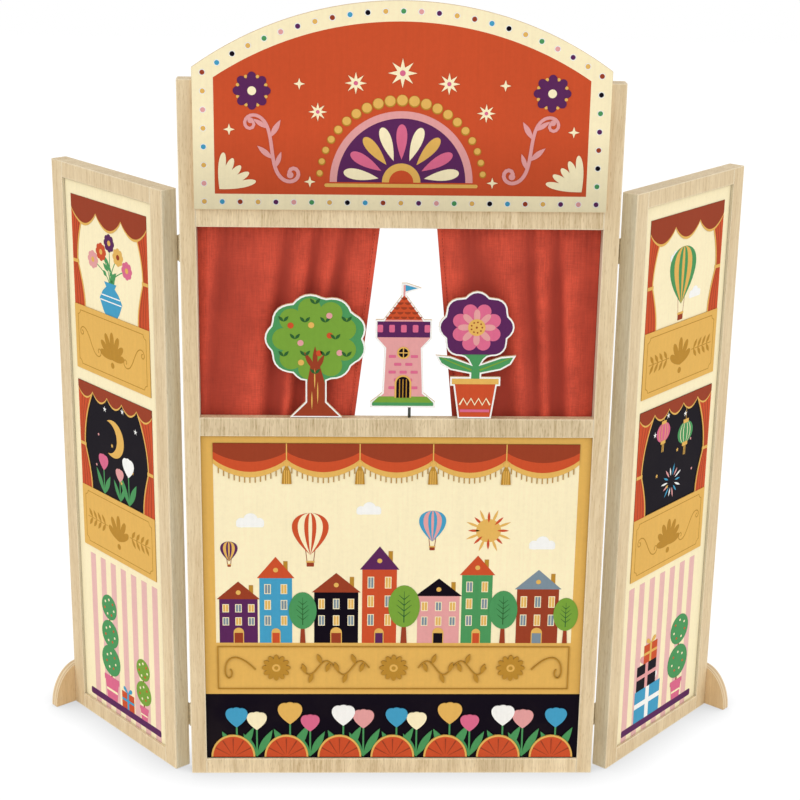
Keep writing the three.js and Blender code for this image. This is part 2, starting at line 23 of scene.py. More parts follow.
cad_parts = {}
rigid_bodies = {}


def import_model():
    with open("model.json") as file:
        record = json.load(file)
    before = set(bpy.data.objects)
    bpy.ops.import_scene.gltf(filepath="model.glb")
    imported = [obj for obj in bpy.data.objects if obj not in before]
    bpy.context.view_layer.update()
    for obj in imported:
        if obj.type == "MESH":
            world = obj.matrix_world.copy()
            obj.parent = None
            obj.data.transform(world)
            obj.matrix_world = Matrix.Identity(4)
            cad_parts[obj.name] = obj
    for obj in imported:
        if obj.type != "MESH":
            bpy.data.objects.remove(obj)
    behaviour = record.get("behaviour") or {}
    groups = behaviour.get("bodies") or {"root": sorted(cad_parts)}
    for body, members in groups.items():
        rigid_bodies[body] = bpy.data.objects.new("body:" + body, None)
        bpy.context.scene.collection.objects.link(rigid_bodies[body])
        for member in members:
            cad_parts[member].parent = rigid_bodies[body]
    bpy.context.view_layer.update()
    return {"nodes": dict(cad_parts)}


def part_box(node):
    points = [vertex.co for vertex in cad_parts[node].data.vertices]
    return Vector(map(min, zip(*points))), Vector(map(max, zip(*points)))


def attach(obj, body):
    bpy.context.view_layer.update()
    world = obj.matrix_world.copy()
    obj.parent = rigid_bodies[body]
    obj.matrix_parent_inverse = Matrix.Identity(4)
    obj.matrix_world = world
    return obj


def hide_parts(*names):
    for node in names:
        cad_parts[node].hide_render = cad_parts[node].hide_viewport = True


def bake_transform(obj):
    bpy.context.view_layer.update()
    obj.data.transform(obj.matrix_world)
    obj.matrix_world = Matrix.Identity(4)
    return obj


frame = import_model()

MM = 0.001
WHOLE_TURN = 360
ACROSS, BACK, UP = Vector((1, 0, 0)), Vector((0, 1, 0)), Vector((0, 0, 1))
Point = tuple[float, float]
Outline = list[Point]
Rgb = tuple[int, int, int]
Mesh = bmesh.types.BMesh
Material = bpy.types.Material
Socket = bpy.types.NodeSocket
log = logging.getLogger("puppet_theatre")


class Named(Enum):
    """Options whose names are used in those of pieces."""

    @property
    def word(self) -> str:
        """The option's name in small letters."""
        return self.name.lower()


class Ink(Named):
    """The flat inks of the prints, as red, green and blue out of 255."""

    CREAM = (255, 241, 199)
    WHITE = (250, 249, 244)
    OCHRE = (231, 182, 94)
    GILT = (188, 138, 50)
    ORANGE = (206, 82, 45)
    BRICK = (155, 64, 38)
    NIGHT = (13, 4, 18)
    PURPLE = (92, 40, 90)
    PINK = (230, 162, 160)
    BLUSH = (236, 188, 182)
    ROSE = (222, 108, 142)
    SKY = (70, 160, 198)
    GREEN = (78, 152, 92)
    LEAF = (122, 164, 60)
    FOREST = (48, 98, 50)
    SLATE = (126, 144, 156)


class Side(Named):
    """The two sides of the theatre, as the audience sees them, with the sign of X there."""

    LEFT = -1
    RIGHT = 1


def linear(colour: Sequence[float]) -> tuple[float, float, float, float]:
    """Turns a screen colour out of 255 into the linear colour that shaders take.

    Args:
        colour: Red, green and blue out of 255.

    Returns:
        The linear colour with an alpha of 1.
    """
    shares = [part / 255 for part in colour]
    return (*[s / 12.92 if s <= 0.04045 else ((s + 0.055) / 1.055) ** 2.4 for s in shares], 1.0)


# Outlines, in millimetres on a flat face


def arc(
    centre: Point, radius: float, start: float, end: float, steps: int = 16, squeeze: float = 1
) -> Outline:
    """Points on an arc, both ends among them.

    Args:
        centre: The arc's centre.
        radius: Its radius across.
        start: The first angle in degrees, from the right, anticlockwise.
        end: The last angle.
        steps: How many steps to take.
        squeeze: The upright radius as a share of the one across.

    Returns:
        The points.
    """
    angles = [math.radians(start + (end - start) * i / steps) for i in range(steps + 1)]
    return [(centre[0] + radius * math.cos(a), centre[1] + squeeze * radius * math.sin(a)) for a in angles]


def spot(centre: Point, radius: float, heading: float) -> Point:
    """The point at a distance from a centre, in a direction in degrees."""
    return arc(centre, radius, heading, heading, 1)[0]


def disc(centre: Point, radius: float, steps: int = 24, squeeze: float = 1) -> Outline:
    """A round or oval outline."""
    return arc(centre, radius, 0, WHOLE_TURN, steps, squeeze)[:-1]


def block(left: float, low: float, right: float, high: float, corner: float = 0) -> Outline:
    """A rectangle.

    Args:
        left: Its left edge.
        low: Its lower edge.
        right: Its right edge.
        high: Its upper edge.
        corner: The radius of its corners.

    Returns:
        The outline, anticlockwise from the lower left.
    """
    if not corner:
        return [(left, low), (right, low), (right, high), (left, high)]
    outline: Outline = []
    for u, v, start in ((left, low, 180), (right, low, 270), (right, high, 0), (left, high, 90)):
        inner = (u + corner if u == left else u - corner, v + corner if v == low else v - corner)
        outline += arc(inner, corner, start, start + 90, steps=4)
    return outline


def bar(middle: float, low: float, high: float, half: float, corner: float = 0) -> Outline:
    """An upright bar about a middle line, of half a width."""
    return block(middle - half, low, middle + half, high, corner)


def star(centre: Point, outer: float, inner: float, points: int) -> Outline:
    """A star, from its uppermost tip.

    Args:
        centre: Its centre.
        outer: The radius of its tips.
        inner: The radius between them.
        points: How many tips it has.

    Returns:
        Its outline.
    """
    return [spot(centre, inner if i % 2 else outer, 90 + i * 180 / points) for i in range(2 * points)]


def along(base: Point, heading: float, length: float, half_widths: Sequence[Point]) -> Outline:
    """A shape that is the same on both sides of a straight axis.

    Args:
        base: Where the axis starts.
        heading: The axis's direction in degrees.
        length: The axis's length.
        half_widths: Pairs of a share of the length and a half width there.

    Returns:
        The outline.
    """
    a = math.radians(heading)
    ahead, aside = (math.cos(a), math.sin(a)), (-math.sin(a), math.cos(a))
    places = [(share * length, -half) for share, half in half_widths]
    places += [(share * length, half) for share, half in reversed(half_widths) if half > 0]
    return [(base[0] + s * ahead[0] + w * aside[0], base[1] + s * ahead[1] + w * aside[1]) for s, w in places]


def drop(base: Point, heading: float, length: float, width: float, steps: int = 12) -> Outline:
    """A petal, pointed at its base and round at its tip, whose width peaks two thirds of the way along.

    Args:
        base: Its point.
        heading: Its direction in degrees.
        length: Its length.
        width: Its greatest width.
        steps: How many steps along it.

    Returns:
        Its outline.
    """
    fullness = 1.299  # brings the greatest half width to half the width
    shares = [math.sin(i / steps * math.pi / 2) for i in range(steps + 1)]
    halves = [(s, fullness * width * s * math.sqrt(max(0.0, 1 - s))) for s in shares]
    return along(base, heading, length, halves)


def blade(base: Point, heading: float, length: float, width: float) -> Outline:
    """A leaf, pointed at both ends.

    Args:
        base: Its foot.
        heading: Its direction in degrees.
        length: Its length.
        width: Its greatest width.

    Returns:
        Its outline.
    """
    shares = [i / 8 for i in range(9)]
    halves = [(share, width / 2 * math.sin(math.pi * share)) for share in shares]
    halves[-1] = (1, 0)
    return along(base, heading, length, halves)


def brush(path: Outline, width: float, tip: float | None = None) -> Outline:
    """A stroke along a path, with square ends.

    Args:
        path: The points that the stroke follows.
        width: Its width at the start.
        tip: Its width at the end, if that differs.

    Returns:
        The stroke's outline.
    """
    tip = width if tip is None else tip
    left, right = [], []
    last = len(path) - 1
    for i, (u, v) in enumerate(path):
        before, after = path[max(0, i - 1)], path[min(last, i + 1)]
        run, rise = after[0] - before[0], after[1] - before[1]
        size = math.hypot(run, rise) or 1
        half = (width + (tip - width) * i / last) / 2
        left.append((u - rise / size * half, v + run / size * half))
        right.append((u + rise / size * half, v - run / size * half))
    return left + right[::-1]


def winding(bends: Sequence[float], heading: float = 0) -> Outline:
    """A path, 1 mm long, whose bend changes evenly from one given value to the next.

    Args:
        bends: The bend at evenly spaced places along it, in degrees for each millimetre.
        heading: The first direction in degrees.

    Returns:
        The path, from (0, 0).
    """
    path, steps = [(0.0, 0.0)], 48
    for i in range(steps):
        place = (i + 0.5) / steps * (len(bends) - 1)
        knot = min(int(place), len(bends) - 2)
        heading += (bends[knot] + (bends[knot + 1] - bends[knot]) * (place - knot)) / steps
        path.append(spot(path[-1], 1 / steps, heading))
    return path


def fitted(path: Outline, left: float, low: float, right: float, high: float) -> Outline:
    """Stretches a path to fill a rectangle.

    Args:
        path: The path.
        left: The rectangle's left edge, or its right one to turn the path over.
        low: Its lower edge.
        right: Its right edge.
        high: Its upper edge.

    Returns:
        The stretched path.
    """
    (first, last), (bottom, top) = ((min(places), max(places)) for places in zip(*path))
    wide, tall = last - first, top - bottom
    shares = [((u - first) / wide, (v - bottom) / tall) for u, v in path]
    return [(left + u * (right - left), low + v * (high - low)) for u, v in shares]


SCROLL_BENDS = (2400, 800, 120, -120, -800, -2400)  # of an S with a curl at each end


def mirrored(outline: Outline, middle: float = 0) -> Outline:
    """The outline turned over about an upright line."""
    return [(2 * middle - u, v) for u, v in reversed(outline)]


def inset(outline: Outline, margin: float) -> Outline:
    """Draws a closed outline in by a margin all round.

    Args:
        outline: The outline, anticlockwise.
        margin: How far to draw it in.

    Returns:
        The smaller outline.
    """
    smaller = []
    for i, (u, v) in enumerate(outline):
        (pu, pv), (nu, nv) = outline[i - 1], outline[(i + 1) % len(outline)]
        before, after = Vector((u - pu, v - pv)).normalized(), Vector((nu - u, nv - v)).normalized()
        sides = Vector((-before.y, before.x)) + Vector((-after.y, after.x))
        moved = Vector((u, v)) + sides.normalized() * (margin / max(0.45, sides.length / 2))
        smaller.append((moved.x, moved.y))
    return smaller


def lower_part(edge: Outline, top: float) -> Outline:
    """The part of an upright figure's outline below a height.

    Args:
        edge: The outline, anticlockwise.
        top: The height.

    Returns:
        The part, from its upper left down and round to its upper right.
    """
    start = next(i for i, point in enumerate(edge) if point[1] < top <= edge[i - 1][1])
    return [point for point in edge[start:] + edge[:start] if point[1] < top]


# Meshes


@dataclass(frozen=True)
class Face:
    """A flat face to lay a print on: a corner or middle, two directions along it and one out of it."""

    origin: Vector
    across: Vector
    up: Vector
    out: Vector

    def at(self, u: float, v: float, lift: float) -> Vector:
        """The place, in metres, of a point on the face, lifted off it."""
        return self.origin + MM * (u * self.across + v * self.up + lift * self.out)


def facing_audience(x: float, y: float, z: float) -> Face:
    """The face that looks straight to the audience from a place in metres."""
    return Face(Vector((x, y, z)), ACROSS, UP, -BACK)


def slab(mesh: Mesh, face: Face, loops: Sequence[Outline], low: float, high: float) -> None:
    """Adds a closed plate of an outline's shape to a mesh.

    Args:
        mesh: The mesh that gets the plate.
        face: The face that it is drawn on.
        loops: The plate's outline, and then those of the openings in it.
        low: The height of the plate's back above the face.
        high: The height of its front.
    """
    triangles = tessellate_polygon([[Vector((u, v, 0)) for u, v in loop] for loop in loops])
    points = [point for loop in loops for point in loop]
    back, front = ([mesh.verts.new(face.at(u, v, lift)) for u, v in points] for lift in (low, high))
    for a, b, c in triangles:
        mesh.faces.new((front[a], front[b], front[c]))
        mesh.faces.new((back[c], back[b], back[a]))
    start = 0
    for loop in loops:
        for i in range(len(loop)):
            a, b = start + i, start + (i + 1) % len(loop)
            mesh.faces.new((back[a], back[b], front[b], front[a]))
        start += len(loop)


def finished(name: str, mesh: Mesh, material: Material, smooth: bool = False) -> bpy.types.Object:
    """Makes an object of a mesh, with its faces turned outwards.

    Args:
        name: The object's name.
        mesh: Its mesh, which is freed.
        material: Its material.
        smooth: Whether it is shaded smooth.

    Returns:
        The object, in the scene.
    """
    bmesh.ops.recalc_face_normals(mesh, faces=mesh.faces)
    data = bpy.data.meshes.new(name)
    mesh.to_mesh(data)
    mesh.free()
    data.materials.append(material)
    if smooth:
        data.shade_smooth()
    else:
        data.shade_flat()
    made = bpy.data.objects.new(name, data)
    bpy.context.scene.collection.objects.link(made)
    return made


def turned(mesh: Mesh, start: Vector, axis: Vector, profile: Sequence[Point], sides: int = 32) -> None:
    """Adds a closed turned body to a mesh.

    Args:
        mesh: The mesh that gets it.
        start: Where its axis starts, in metres.
        axis: Its axis's direction.
        profile: Pairs of a place along the axis and a radius, in millimetres, from end to end.
        sides: How many sides it has.
    """
    ahead, aside = axis.normalized(), axis.orthogonal().normalized()
    beside = ahead.cross(aside)
    turns = [2 * math.pi * i / sides for i in range(sides)]
    ways = [aside * math.cos(a) + beside * math.sin(a) for a in turns]
    rings = []
    for place, radius in profile:
        rings.append([mesh.verts.new(start + ahead * place * MM + MM * radius * way) for way in ways])
    for lower, upper in zip(rings, rings[1:]):
        for i in range(sides):
            j = (i + 1) % sides
            mesh.faces.new((lower[i], lower[j], upper[j], upper[i]))
    mesh.faces.new(rings[0][::-1])
    mesh.faces.new(rings[-1])


def declare(piece: bpy.types.Object, body: str, replaces: str | None = None) -> None:
    """Hangs a piece on the body that it rides, and hides the node that it stands in for.

    Args:
        piece: The piece.
        body: The body that it rides.
        replaces: The node that it stands in for, if any.
    """
    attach(piece, body)
    if replaces:
        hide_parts(replaces)


def middle_of(node: str) -> list[float]:
    """The middle of a node's box, in metres."""
    return [(low + high) / 2 for low, high in zip(*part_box(node))]


# Shader effects


class Wiring:
    """A hand that adds nodes to one tree and joins them."""

    def __init__(self, tree: bpy.types.NodeTree) -> None:
        """Takes the tree to work on."""
        self.tree = tree

    def add(self, kind: str, inputs: dict | None = None, **settings: object) -> bpy.types.Node:
        """Adds a node.

        Args:
            kind: The node's type, without its leading ShaderNode.
            inputs: Values or sockets for its inputs, by name or number.
            **settings: Its other settings.

        Returns:
            The node.
        """
        node = self.tree.nodes.new("ShaderNode" + kind)
        for name, value in settings.items():
            setattr(node, name, value)
        for name, value in (inputs or {}).items():
            self.join(value, node.inputs[name])
        return node

    def join(self, value: object, socket: Socket) -> None:
        """Joins a socket to another, or sets its value.

        Args:
            value: The other socket, or the value.
            socket: The input socket.
        """
        if isinstance(value, Socket):
            self.tree.links.new(value, socket)
        else:
            socket.default_value = value

    def sum(self, operation: str, first: object, second: object = 0.0, clamp: bool = False) -> Socket:
        """A Math node's result, such as MAXIMUM of two values."""
        return self.add("Math", {0: first, 1: second}, operation=operation, use_clamp=clamp).outputs[0]

    def times(self, *values: object) -> Socket:
        """The product of several values."""
        return reduce(lambda first, second: self.sum("MULTIPLY", first, second), values)

    def plus(self, *values: object) -> Socket:
        """The sum of several values."""
        return reduce(lambda first, second: self.sum("ADD", first, second), values)

    def vector(self, operation: str, first: object, second: object) -> bpy.types.NodeOutputs:
        """The results of an operation on two vectors."""
        return self.add("VectorMath", {0: first, 1: second}, operation=operation).outputs

    def part(self, vector: object, axis: str) -> Socket:
        """A vector's X, Y or Z."""
        return self.add("SeparateXYZ", {0: vector}).outputs[axis]

    def blend(self, share: object, first: object, second: object, mode: str = "MIX") -> Socket:
        """A mix of two colours."""
        node = self.add("Mix", {0: share, 6: first, 7: second}, data_type="RGBA", blend_type=mode)
        return node.outputs[2]

    def noise(
        self, place: object, scale: float, detail: float = 2, rough: float = 0.5, stretch: tuple = ()
    ) -> Socket:
        """A noise from 0 to 1.

        Args:
            place: Where it is looked up.
            scale: Its scale, in features for each metre.
            detail: How many finer layers it has.
            rough: How strong those are.
            stretch: Factors on the place along each axis, if any.

        Returns:
            The noise.
        """
        if stretch:
            place = self.vector("MULTIPLY", place, stretch)[0]
        settings = {"Vector": place, "Scale": scale, "Detail": detail, "Roughness": rough}
        return self.add("TexNoise", settings).outputs[0]

    def spread(
        self, value: Socket, low: object, high: object, to_low: float = 0, to_high: float = 1
    ) -> Socket:
        """A value spread from one range to another, and held within it."""
        inputs = {"Value": value, "From Min": low, "From Max": high, "To Min": to_low, "To Max": to_high}
        return self.add("MapRange", inputs, clamp=True).outputs[0]

    def show_both(self, first: bpy.types.Node, second: bpy.types.Node, ray: str, output: str) -> None:
        """Ends the tree with one shader, and another for camera rays and one more kind.

        Args:
            first: The shader for all other rays.
            second: The shader for the camera's and the named rays.
            ray: The Light Path output of that kind of ray.
            output: The output node's type.
        """
        path = self.add("LightPath").outputs
        seen = self.sum("MAXIMUM", path["Is Camera Ray"], path[ray])
        mixed = self.add("MixShader", {0: seen, 1: first.outputs[0], 2: second.outputs[0]})
        self.add(output, {"Surface": mixed.outputs[0]})


class Effect(Wiring):
    """A node group with named sockets, for an effect that several materials share."""

    SURFACE = "Colour Roughness Height"
    KINDS = dict.fromkeys(("Place", "Normal", "Across"), "Vector")
    KINDS |= dict.fromkeys(("Pale", "Dark", "Ink", "Metal", "Colour"), "Color")
    made: dict[str, bpy.types.NodeTree] = {}

    def __init__(self, name: str, inputs: str, outputs: str = "Mask") -> None:
        """Starts the group.

        Args:
            name: Its name.
            inputs: The names of its inputs, with a space between them.
            outputs: The names of its outputs.
        """
        super().__init__(bpy.data.node_groups.new(name, "ShaderNodeTree"))
        for labels, way in ((inputs, "INPUT"), (outputs, "OUTPUT")):
            for label in labels.split():
                kind = "NodeSocket" + self.KINDS.get(label, "Float")
                self.tree.interface.new_socket(label, in_out=way, socket_type=kind)
        self.given = self.tree.nodes.new("NodeGroupInput").outputs
        self.result = self.tree.nodes.new("NodeGroupOutput").inputs
        self.made[name] = self.tree

    def put(self, **values: object) -> None:
        """Puts values out by name."""
        for label, value in values.items():
            self.join(value, self.result[label])


def wire_straight_grain() -> None:
    """Sawn and sanded wood whose grain runs up Z: broad bands, fine streaks and short pores."""
    wire = Effect("straight_grain", "Place Pale Dark Contrast", Effect.SURFACE)
    place = wire.given["Place"]
    sway = wire.noise(place, 1.0, 1, stretch=(4, 4, 9))
    run = wire.vector("ADD", place, wire.times(sway, 0.009))[0]
    band = wire.noise(run, 95, 3, 0.6, (1, 1, 0.05))
    streak = wire.noise(run, 560, 3, 0.65, (1, 1, 0.04))
    pore = wire.noise(run, 1100, 1, stretch=(1, 1, 0.13))
    bands = wire.times(wire.spread(band, 0.35, 0.72), 0.42)
    streaks = wire.times(wire.spread(streak, 0.38, 0.68), 0.5)
    pores = wire.times(wire.spread(pore, 0.56, 0.76), 0.5)
    clouds = wire.times(wire.spread(wire.noise(place, 7), 0.3, 0.7), 0.22)
    depth = wire.plus(bands, streaks, pores, clouds)
    share = wire.sum("MULTIPLY", depth, wire.given["Contrast"], clamp=True)
    wire.put(
        Colour=wire.blend(share, wire.given["Pale"], wire.given["Dark"]),
        Roughness=wire.spread(share, 0, 1, 0.5, 0.66),
        Height=wire.times(wire.plus(streaks, pores), -1),
    )


def wire_handling() -> None:
    """The faint patches that hands and floors leave on a toy, as a mask that is stronger low down."""
    wire = Effect("handling", "Place Amount")
    patches = wire.spread(wire.noise(wire.given["Place"], 14, 4, 0.6), 0.5, 0.72)
    low = wire.spread(wire.part(wire.given["Place"], "Z"), 0.0, 0.09, 1, 0.35)
    wire.put(Mask=wire.times(patches, low, wire.given["Amount"]))


def wire_worn_edges() -> None:
    """A mask of the arrises, painted paler: partly wear from sanding and hands, partly a painted highlight
    where the rounded edge catches the light.
    """
    wire = Effect("worn_edges", "Radius")
    rounded = wire.add("Bevel", {"Radius": wire.given["Radius"]}, samples=4).outputs[0]
    flat = wire.add("NewGeometry").outputs["Normal"]
    wire.put(Mask=wire.spread(wire.vector("DOT_PRODUCT", rounded, flat)["Value"], 0.996, 0.92))


def wire_inward_faces() -> None:
    """A mask of the upright faces that look to the middle of the stage."""
    wire = Effect("inward_faces", "Place Normal")
    side = wire.sum("SIGN", wire.part(wire.given["Place"], "X"))
    facing = wire.part(wire.given["Normal"], "X")
    wire.put(Mask=wire.spread(wire.times(side, facing), -0.3, -0.5))


def wire_recess_shade() -> None:
    """A mask of painted shade round the rim of a sunken board, where less light falls."""
    wire = Effect("recess_shade", "Reach Amount")
    openness = wire.add("AmbientOcclusion", {"Distance": wire.given["Reach"]}, samples=8).outputs["AO"]
    closed = wire.sum("SUBTRACT", 1.0, openness, clamp=True)
    wire.put(Mask=wire.times(closed, wire.given["Amount"]))


def wire_lower_fade() -> None:
    """A mask of painted shade that grows from one height down to another, and is nothing below that."""
    wire = Effect("lower_fade", "Place Low High Amount")
    given, height = wire.given, wire.part(wire.given["Place"], "Z")
    depth = wire.spread(height, given["High"], given["Low"])
    above = wire.sum("GREATER_THAN", height, given["Low"])
    wire.put(Mask=wire.times(depth, given["Amount"], above))


def wire_ink_film() -> None:
    """Flat ink on a smooth board: a slight mottle, a hint of the board's grain and a fine tooth."""
    wire = Effect("ink_film", "Place Ink", Effect.SURFACE)
    place = wire.given["Place"]
    mottle = wire.spread(wire.noise(place, 260, 3, 0.6), 0.3, 0.7, 0.98, 1.025)
    grain = wire.spread(wire.noise(place, 420, stretch=(1, 1, 0.04)), 0.3, 0.7, 0.98, 1.02)
    cloud = wire.spread(wire.noise(place, 11), 0.3, 0.7, 0.985, 1.015)
    tone = wire.add("CombineColor", dict.fromkeys((0, 1, 2), wire.times(mottle, grain, cloud)))
    tooth = wire.noise(place, 2600)
    wire.put(
        Colour=wire.blend(1.0, wire.given["Ink"], tone.outputs[0], "MULTIPLY"),
        Roughness=wire.spread(tooth, 0.3, 0.7, 0.44, 0.56),
        Height=tooth,
    )


def wire_cut_plies() -> None:
    """The layers that show where plywood is cut, and a mask of the cut edges."""
    wire = Effect("cut_plies", "Place Normal Across Start Ply", "Edge Seam")
    given = wire.given
    flat = wire.sum("ABSOLUTE", wire.vector("DOT_PRODUCT", given["Normal"], given["Across"])["Value"])
    depth = wire.vector("DOT_PRODUCT", given["Place"], given["Across"])["Value"]
    counted = wire.sum("DIVIDE", wire.sum("SUBTRACT", depth, given["Start"]), given["Ply"])
    seam = wire.spread(wire.sum("PINGPONG", counted, 1.0), 0.55, 0.85)
    wire.put(Edge=wire.spread(flat, 0.5, 0.7, 1, 0), Seam=seam)


def wire_plain_weave() -> None:
    """Plain woven cotton, whose threads run along X and Z, with slubs and faded patches, and painted shade in
    the valleys of its folds.
    """
    wire = Effect("plain_weave", "Place Pale Dark Threads Ridge Valley", Effect.SURFACE)
    given, place = wire.given, wire.given["Place"]
    waves = [wire.sum("SINE", wire.times(wire.part(place, axis), given["Threads"])) for axis in "XZ"]
    weave = wire.spread(wire.times(*waves), -1, 1)
    slub = wire.noise(place, 900, stretch=(1, 1, 0.06))
    weft = wire.noise(place, 900, stretch=(0.06, 1, 1))
    fibres = wire.plus(wire.times(slub, 0.3), wire.times(weft, 0.2))
    patches = wire.plus(wire.times(wire.noise(place, 26, 4, 0.65), 0.55), wire.times(weave, 0.12))
    share = wire.spread(wire.plus(fibres, patches), 0.35, 0.85)
    # painted shade: the cloth is mixed towards its dark colour where it lies further back, in the valleys of
    # its folds
    worn = {"Value": wire.part(place, "Y"), "From Min": given["Ridge"], "From Max": given["Valley"]}
    valley = wire.add("MapRange", worn, interpolation_type="SMOOTHSTEP").outputs[0]
    mixed = wire.times(share, wire.spread(valley, 0, 1, 1, 0.12))
    wire.put(
        Colour=wire.blend(mixed, given["Dark"], given["Pale"]),
        Roughness=wire.spread(slub, 0.3, 0.7, 0.78, 0.92),
        Height=wire.plus(weave, wire.times(fibres, 0.8)),
    )


def wire_drawn_metal() -> None:
    """Rolled or drawn metal with fine upright lines and a little tarnish."""
    wire = Effect("drawn_metal", "Place Metal", Effect.SURFACE)
    place, metal = wire.given["Place"], wire.given["Metal"]
    lines = wire.noise(place, 2500, stretch=(1, 1, 0.05))
    tarnish = wire.spread(wire.noise(place, 240, 4, 0.6), 0.42, 0.7)
    dulled = wire.blend(0.55, metal, (0.05, 0.04, 0.03, 1))
    wire.put(
        Colour=wire.blend(wire.times(tarnish, 0.6), metal, dulled),
        Roughness=wire.plus(wire.spread(lines, 0.3, 0.7, 0.3, 0.42), wire.times(tarnish, 0.18)),
        Height=lines,
    )


def wire_effects() -> None:
    """Builds every effect."""
    wooden = (wire_straight_grain, wire_handling, wire_worn_edges, wire_inward_faces, wire_cut_plies)
    printed = (wire_recess_shade, wire_lower_fade, wire_ink_film)
    for wire_effect in (*wooden, *printed, wire_plain_weave, wire_drawn_metal):
        wire_effect()
    log.info("effects: %s", ", ".join(Effect.made))


# Finishes


class Dresser(Wiring):
    """The start of a material: its tree, its Principled shader and the place on the object."""

    def __init__(self, name: str) -> None:
        """Makes an empty material.

        Args:
            name: Its name.
        """
        self.material = bpy.data.materials.new(name)
        self.material.use_nodes = True
        super().__init__(self.material.node_tree)
        self.shader = next(node for node in self.tree.nodes if node.type == "BSDF_PRINCIPLED").inputs
        texture = self.add("TexCoord").outputs
        self.usual = {"Place": texture["Object"], "Normal": texture["Normal"]}

    def effect(self, name: str, **inputs: object) -> bpy.types.NodeOutputs:
        """Adds one of the shared effects.

        Args:
            name: The effect's name.
            **inputs: Values or sockets for its inputs. Place and Normal are joined if they aren't given.

        Returns:
            Its outputs.
        """
        node = self.add("Group", node_tree=Effect.made[name])
        usual = {label: value for label, value in self.usual.items() if label in node.inputs}
        for label, value in (usual | inputs).items():
            self.join(value, node.inputs[label])
        return node.outputs

    def finish(self, colour: object, surface: bpy.types.NodeOutputs, depth: float) -> Material:
        """Joins colour, roughness and relief to the shader.

        Args:
            colour: The base colour.
            surface: The effect that gives roughness and height.
            depth: The relief's depth in metres.

        Returns:
            The material.
        """
        bump = self.add("Bump", {"Height": surface["Height"], "Distance": depth, "Strength": 0.7})
        self.join(colour, self.shader["Base Color"])
        self.join(surface["Roughness"], self.shader["Roughness"])
        self.join(bump.outputs[0], self.shader["Normal"])
        return self.material


MADE: dict[str, Material] = {}


@dataclass(frozen=True)
class Finish:
    """A named finish, whose material is made when it is first asked for."""

    name: str

    def material(self) -> Material:
        """Finds or makes the finish's material.

        Returns:
            The material.
        """
        if self.name not in MADE:
            MADE[self.name] = self.make(Dresser(self.name))
        return MADE[self.name]

    def make(self, dress: Dresser) -> Material:
        """Makes the material on an empty one."""
        raise NotImplementedError


@dataclass(frozen=True)
class WoodFinish(Finish):
    """Clear matt wood with an upright grain."""

    pale: Rgb
    dark: Rgb
    contrast: float = 1.0
    shift: float = 0.0
    soil: float = 0.25
    # the pale colour of the arrises: partly wear, partly a painted highlight
    worn: Rgb = (255, 243, 214)
    edge: float = 1.8  # the width of the pale arris, partly worn and partly a painted highlight
    wear: float = 0.8
    side: tuple[float, float, float] = (0.91, 1.05, 1.26)  # a painted tint on the inward sides, cooler, standing in for the light that falls there

    def make(self, dress: Dresser) -> Material:
        """Wires the grain, and over it the soil, the painted cooler tint of the inward sides and the arrises
        painted pale, partly wear and partly painted highlight.

        Args:
            dress: The start of the material.

        Returns:
            The material.
        """
        shift = (self.shift, self.shift * 0.37, self.shift * 0.71)
        moved = dress.vector("ADD", dress.usual["Place"], shift)[0]
        tones = {"Pale": linear(self.pale), "Dark": linear(self.dark)}
        wood = dress.effect("straight_grain", Place=moved, Contrast=self.contrast, **tones)
        soil = dress.effect("handling", Amount=self.soil)["Mask"]
        colour = dress.blend(soil, wood["Colour"], linear([part * 0.8 for part in self.dark]))
        # painted light: the faces that look to the middle of the stage are tinted cooler
        colour = dress.blend(dress.effect("inward_faces")["Mask"], colour, (*self.side, 1), "MULTIPLY")
        # painted highlight, with some wear: the arrises are mixed towards a pale colour
        edges = dress.times(dress.effect("worn_edges", Radius=self.edge * MM)["Mask"], self.wear)
        return dress.finish(dress.blend(edges, colour, linear(self.worn)), wood, 0.00025)


@dataclass(frozen=True)
class PlyFinish(Finish):
    """Plywood with a face veneer and layers at its cut edges."""

    face: WoodFinish
    across: Sequence[float]
    start: float
    ply: float = 1.5
    edge_pale: Rgb = (233, 209, 168)
    seam: Rgb = (212, 174, 128)

    def make(self, dress: Dresser) -> Material:
        """Wires the veneer's grain and the cut layers.

        Args:
            dress: The start of the material.

        Returns:
            The material.
        """
        tones = {"Pale": linear(self.face.pale), "Dark": linear(self.face.dark)}
        wood = dress.effect("straight_grain", Contrast=self.face.contrast, **tones)
        layout = {"Across": tuple(self.across), "Start": self.start * MM, "Ply": self.ply * MM}
        cut = dress.effect("cut_plies", **layout)
        layers = dress.blend(cut["Seam"], linear(self.edge_pale), linear(self.seam))
        return dress.finish(dress.blend(cut["Edge"], wood["Colour"], layers), wood, 0.0002)


@dataclass(frozen=True)
class InkFinish(Finish):
    """One ink of the prints, satin, on a smooth board."""

    ink: Ink
    # rim_reach and rim_shade set the painted shade round the rim of a sunken board
    rim_reach: float = 13
    rim_shade: float = 0.6
    fade_low: float = 618  # the foot of the crown's painted shade: just under the crown and above every other print
    fade_high: float = 698
    fade: float = 0.3
    soil: float = 0.06
    soil_colour: Rgb = (120, 104, 84)

    def make(self, dress: Dresser) -> Material:
        """Wires the ink, and over it the soil, the painted shade round the rim and the painted shade that
        darkens the crown towards its foot.

        Args:
            dress: The start of the material.

        Returns:
            The material.
        """
        film = dress.effect("ink_film", Ink=linear(self.ink.value))
        dress.shader["Specular IOR Level"].default_value = 0.06
        soil = dress.effect("handling", Amount=self.soil)["Mask"]
        colour = dress.blend(soil, film["Colour"], linear(self.soil_colour))
        # painted shade: the ink is darkened round the rim of the sunken board
        rim = dress.effect("recess_shade", Reach=self.rim_reach * MM, Amount=self.rim_shade)["Mask"]
        heights = {"Low": self.fade_low * MM, "High": self.fade_high * MM}
        fade = dress.effect("lower_fade", Amount=self.fade, **heights)["Mask"]
        # Both masks paint shade: the colour is mixed towards black.
        for mask in (rim, fade):
            colour = dress.blend(mask, colour, (0, 0, 0, 1))
        return dress.finish(colour, film, 0.00002)


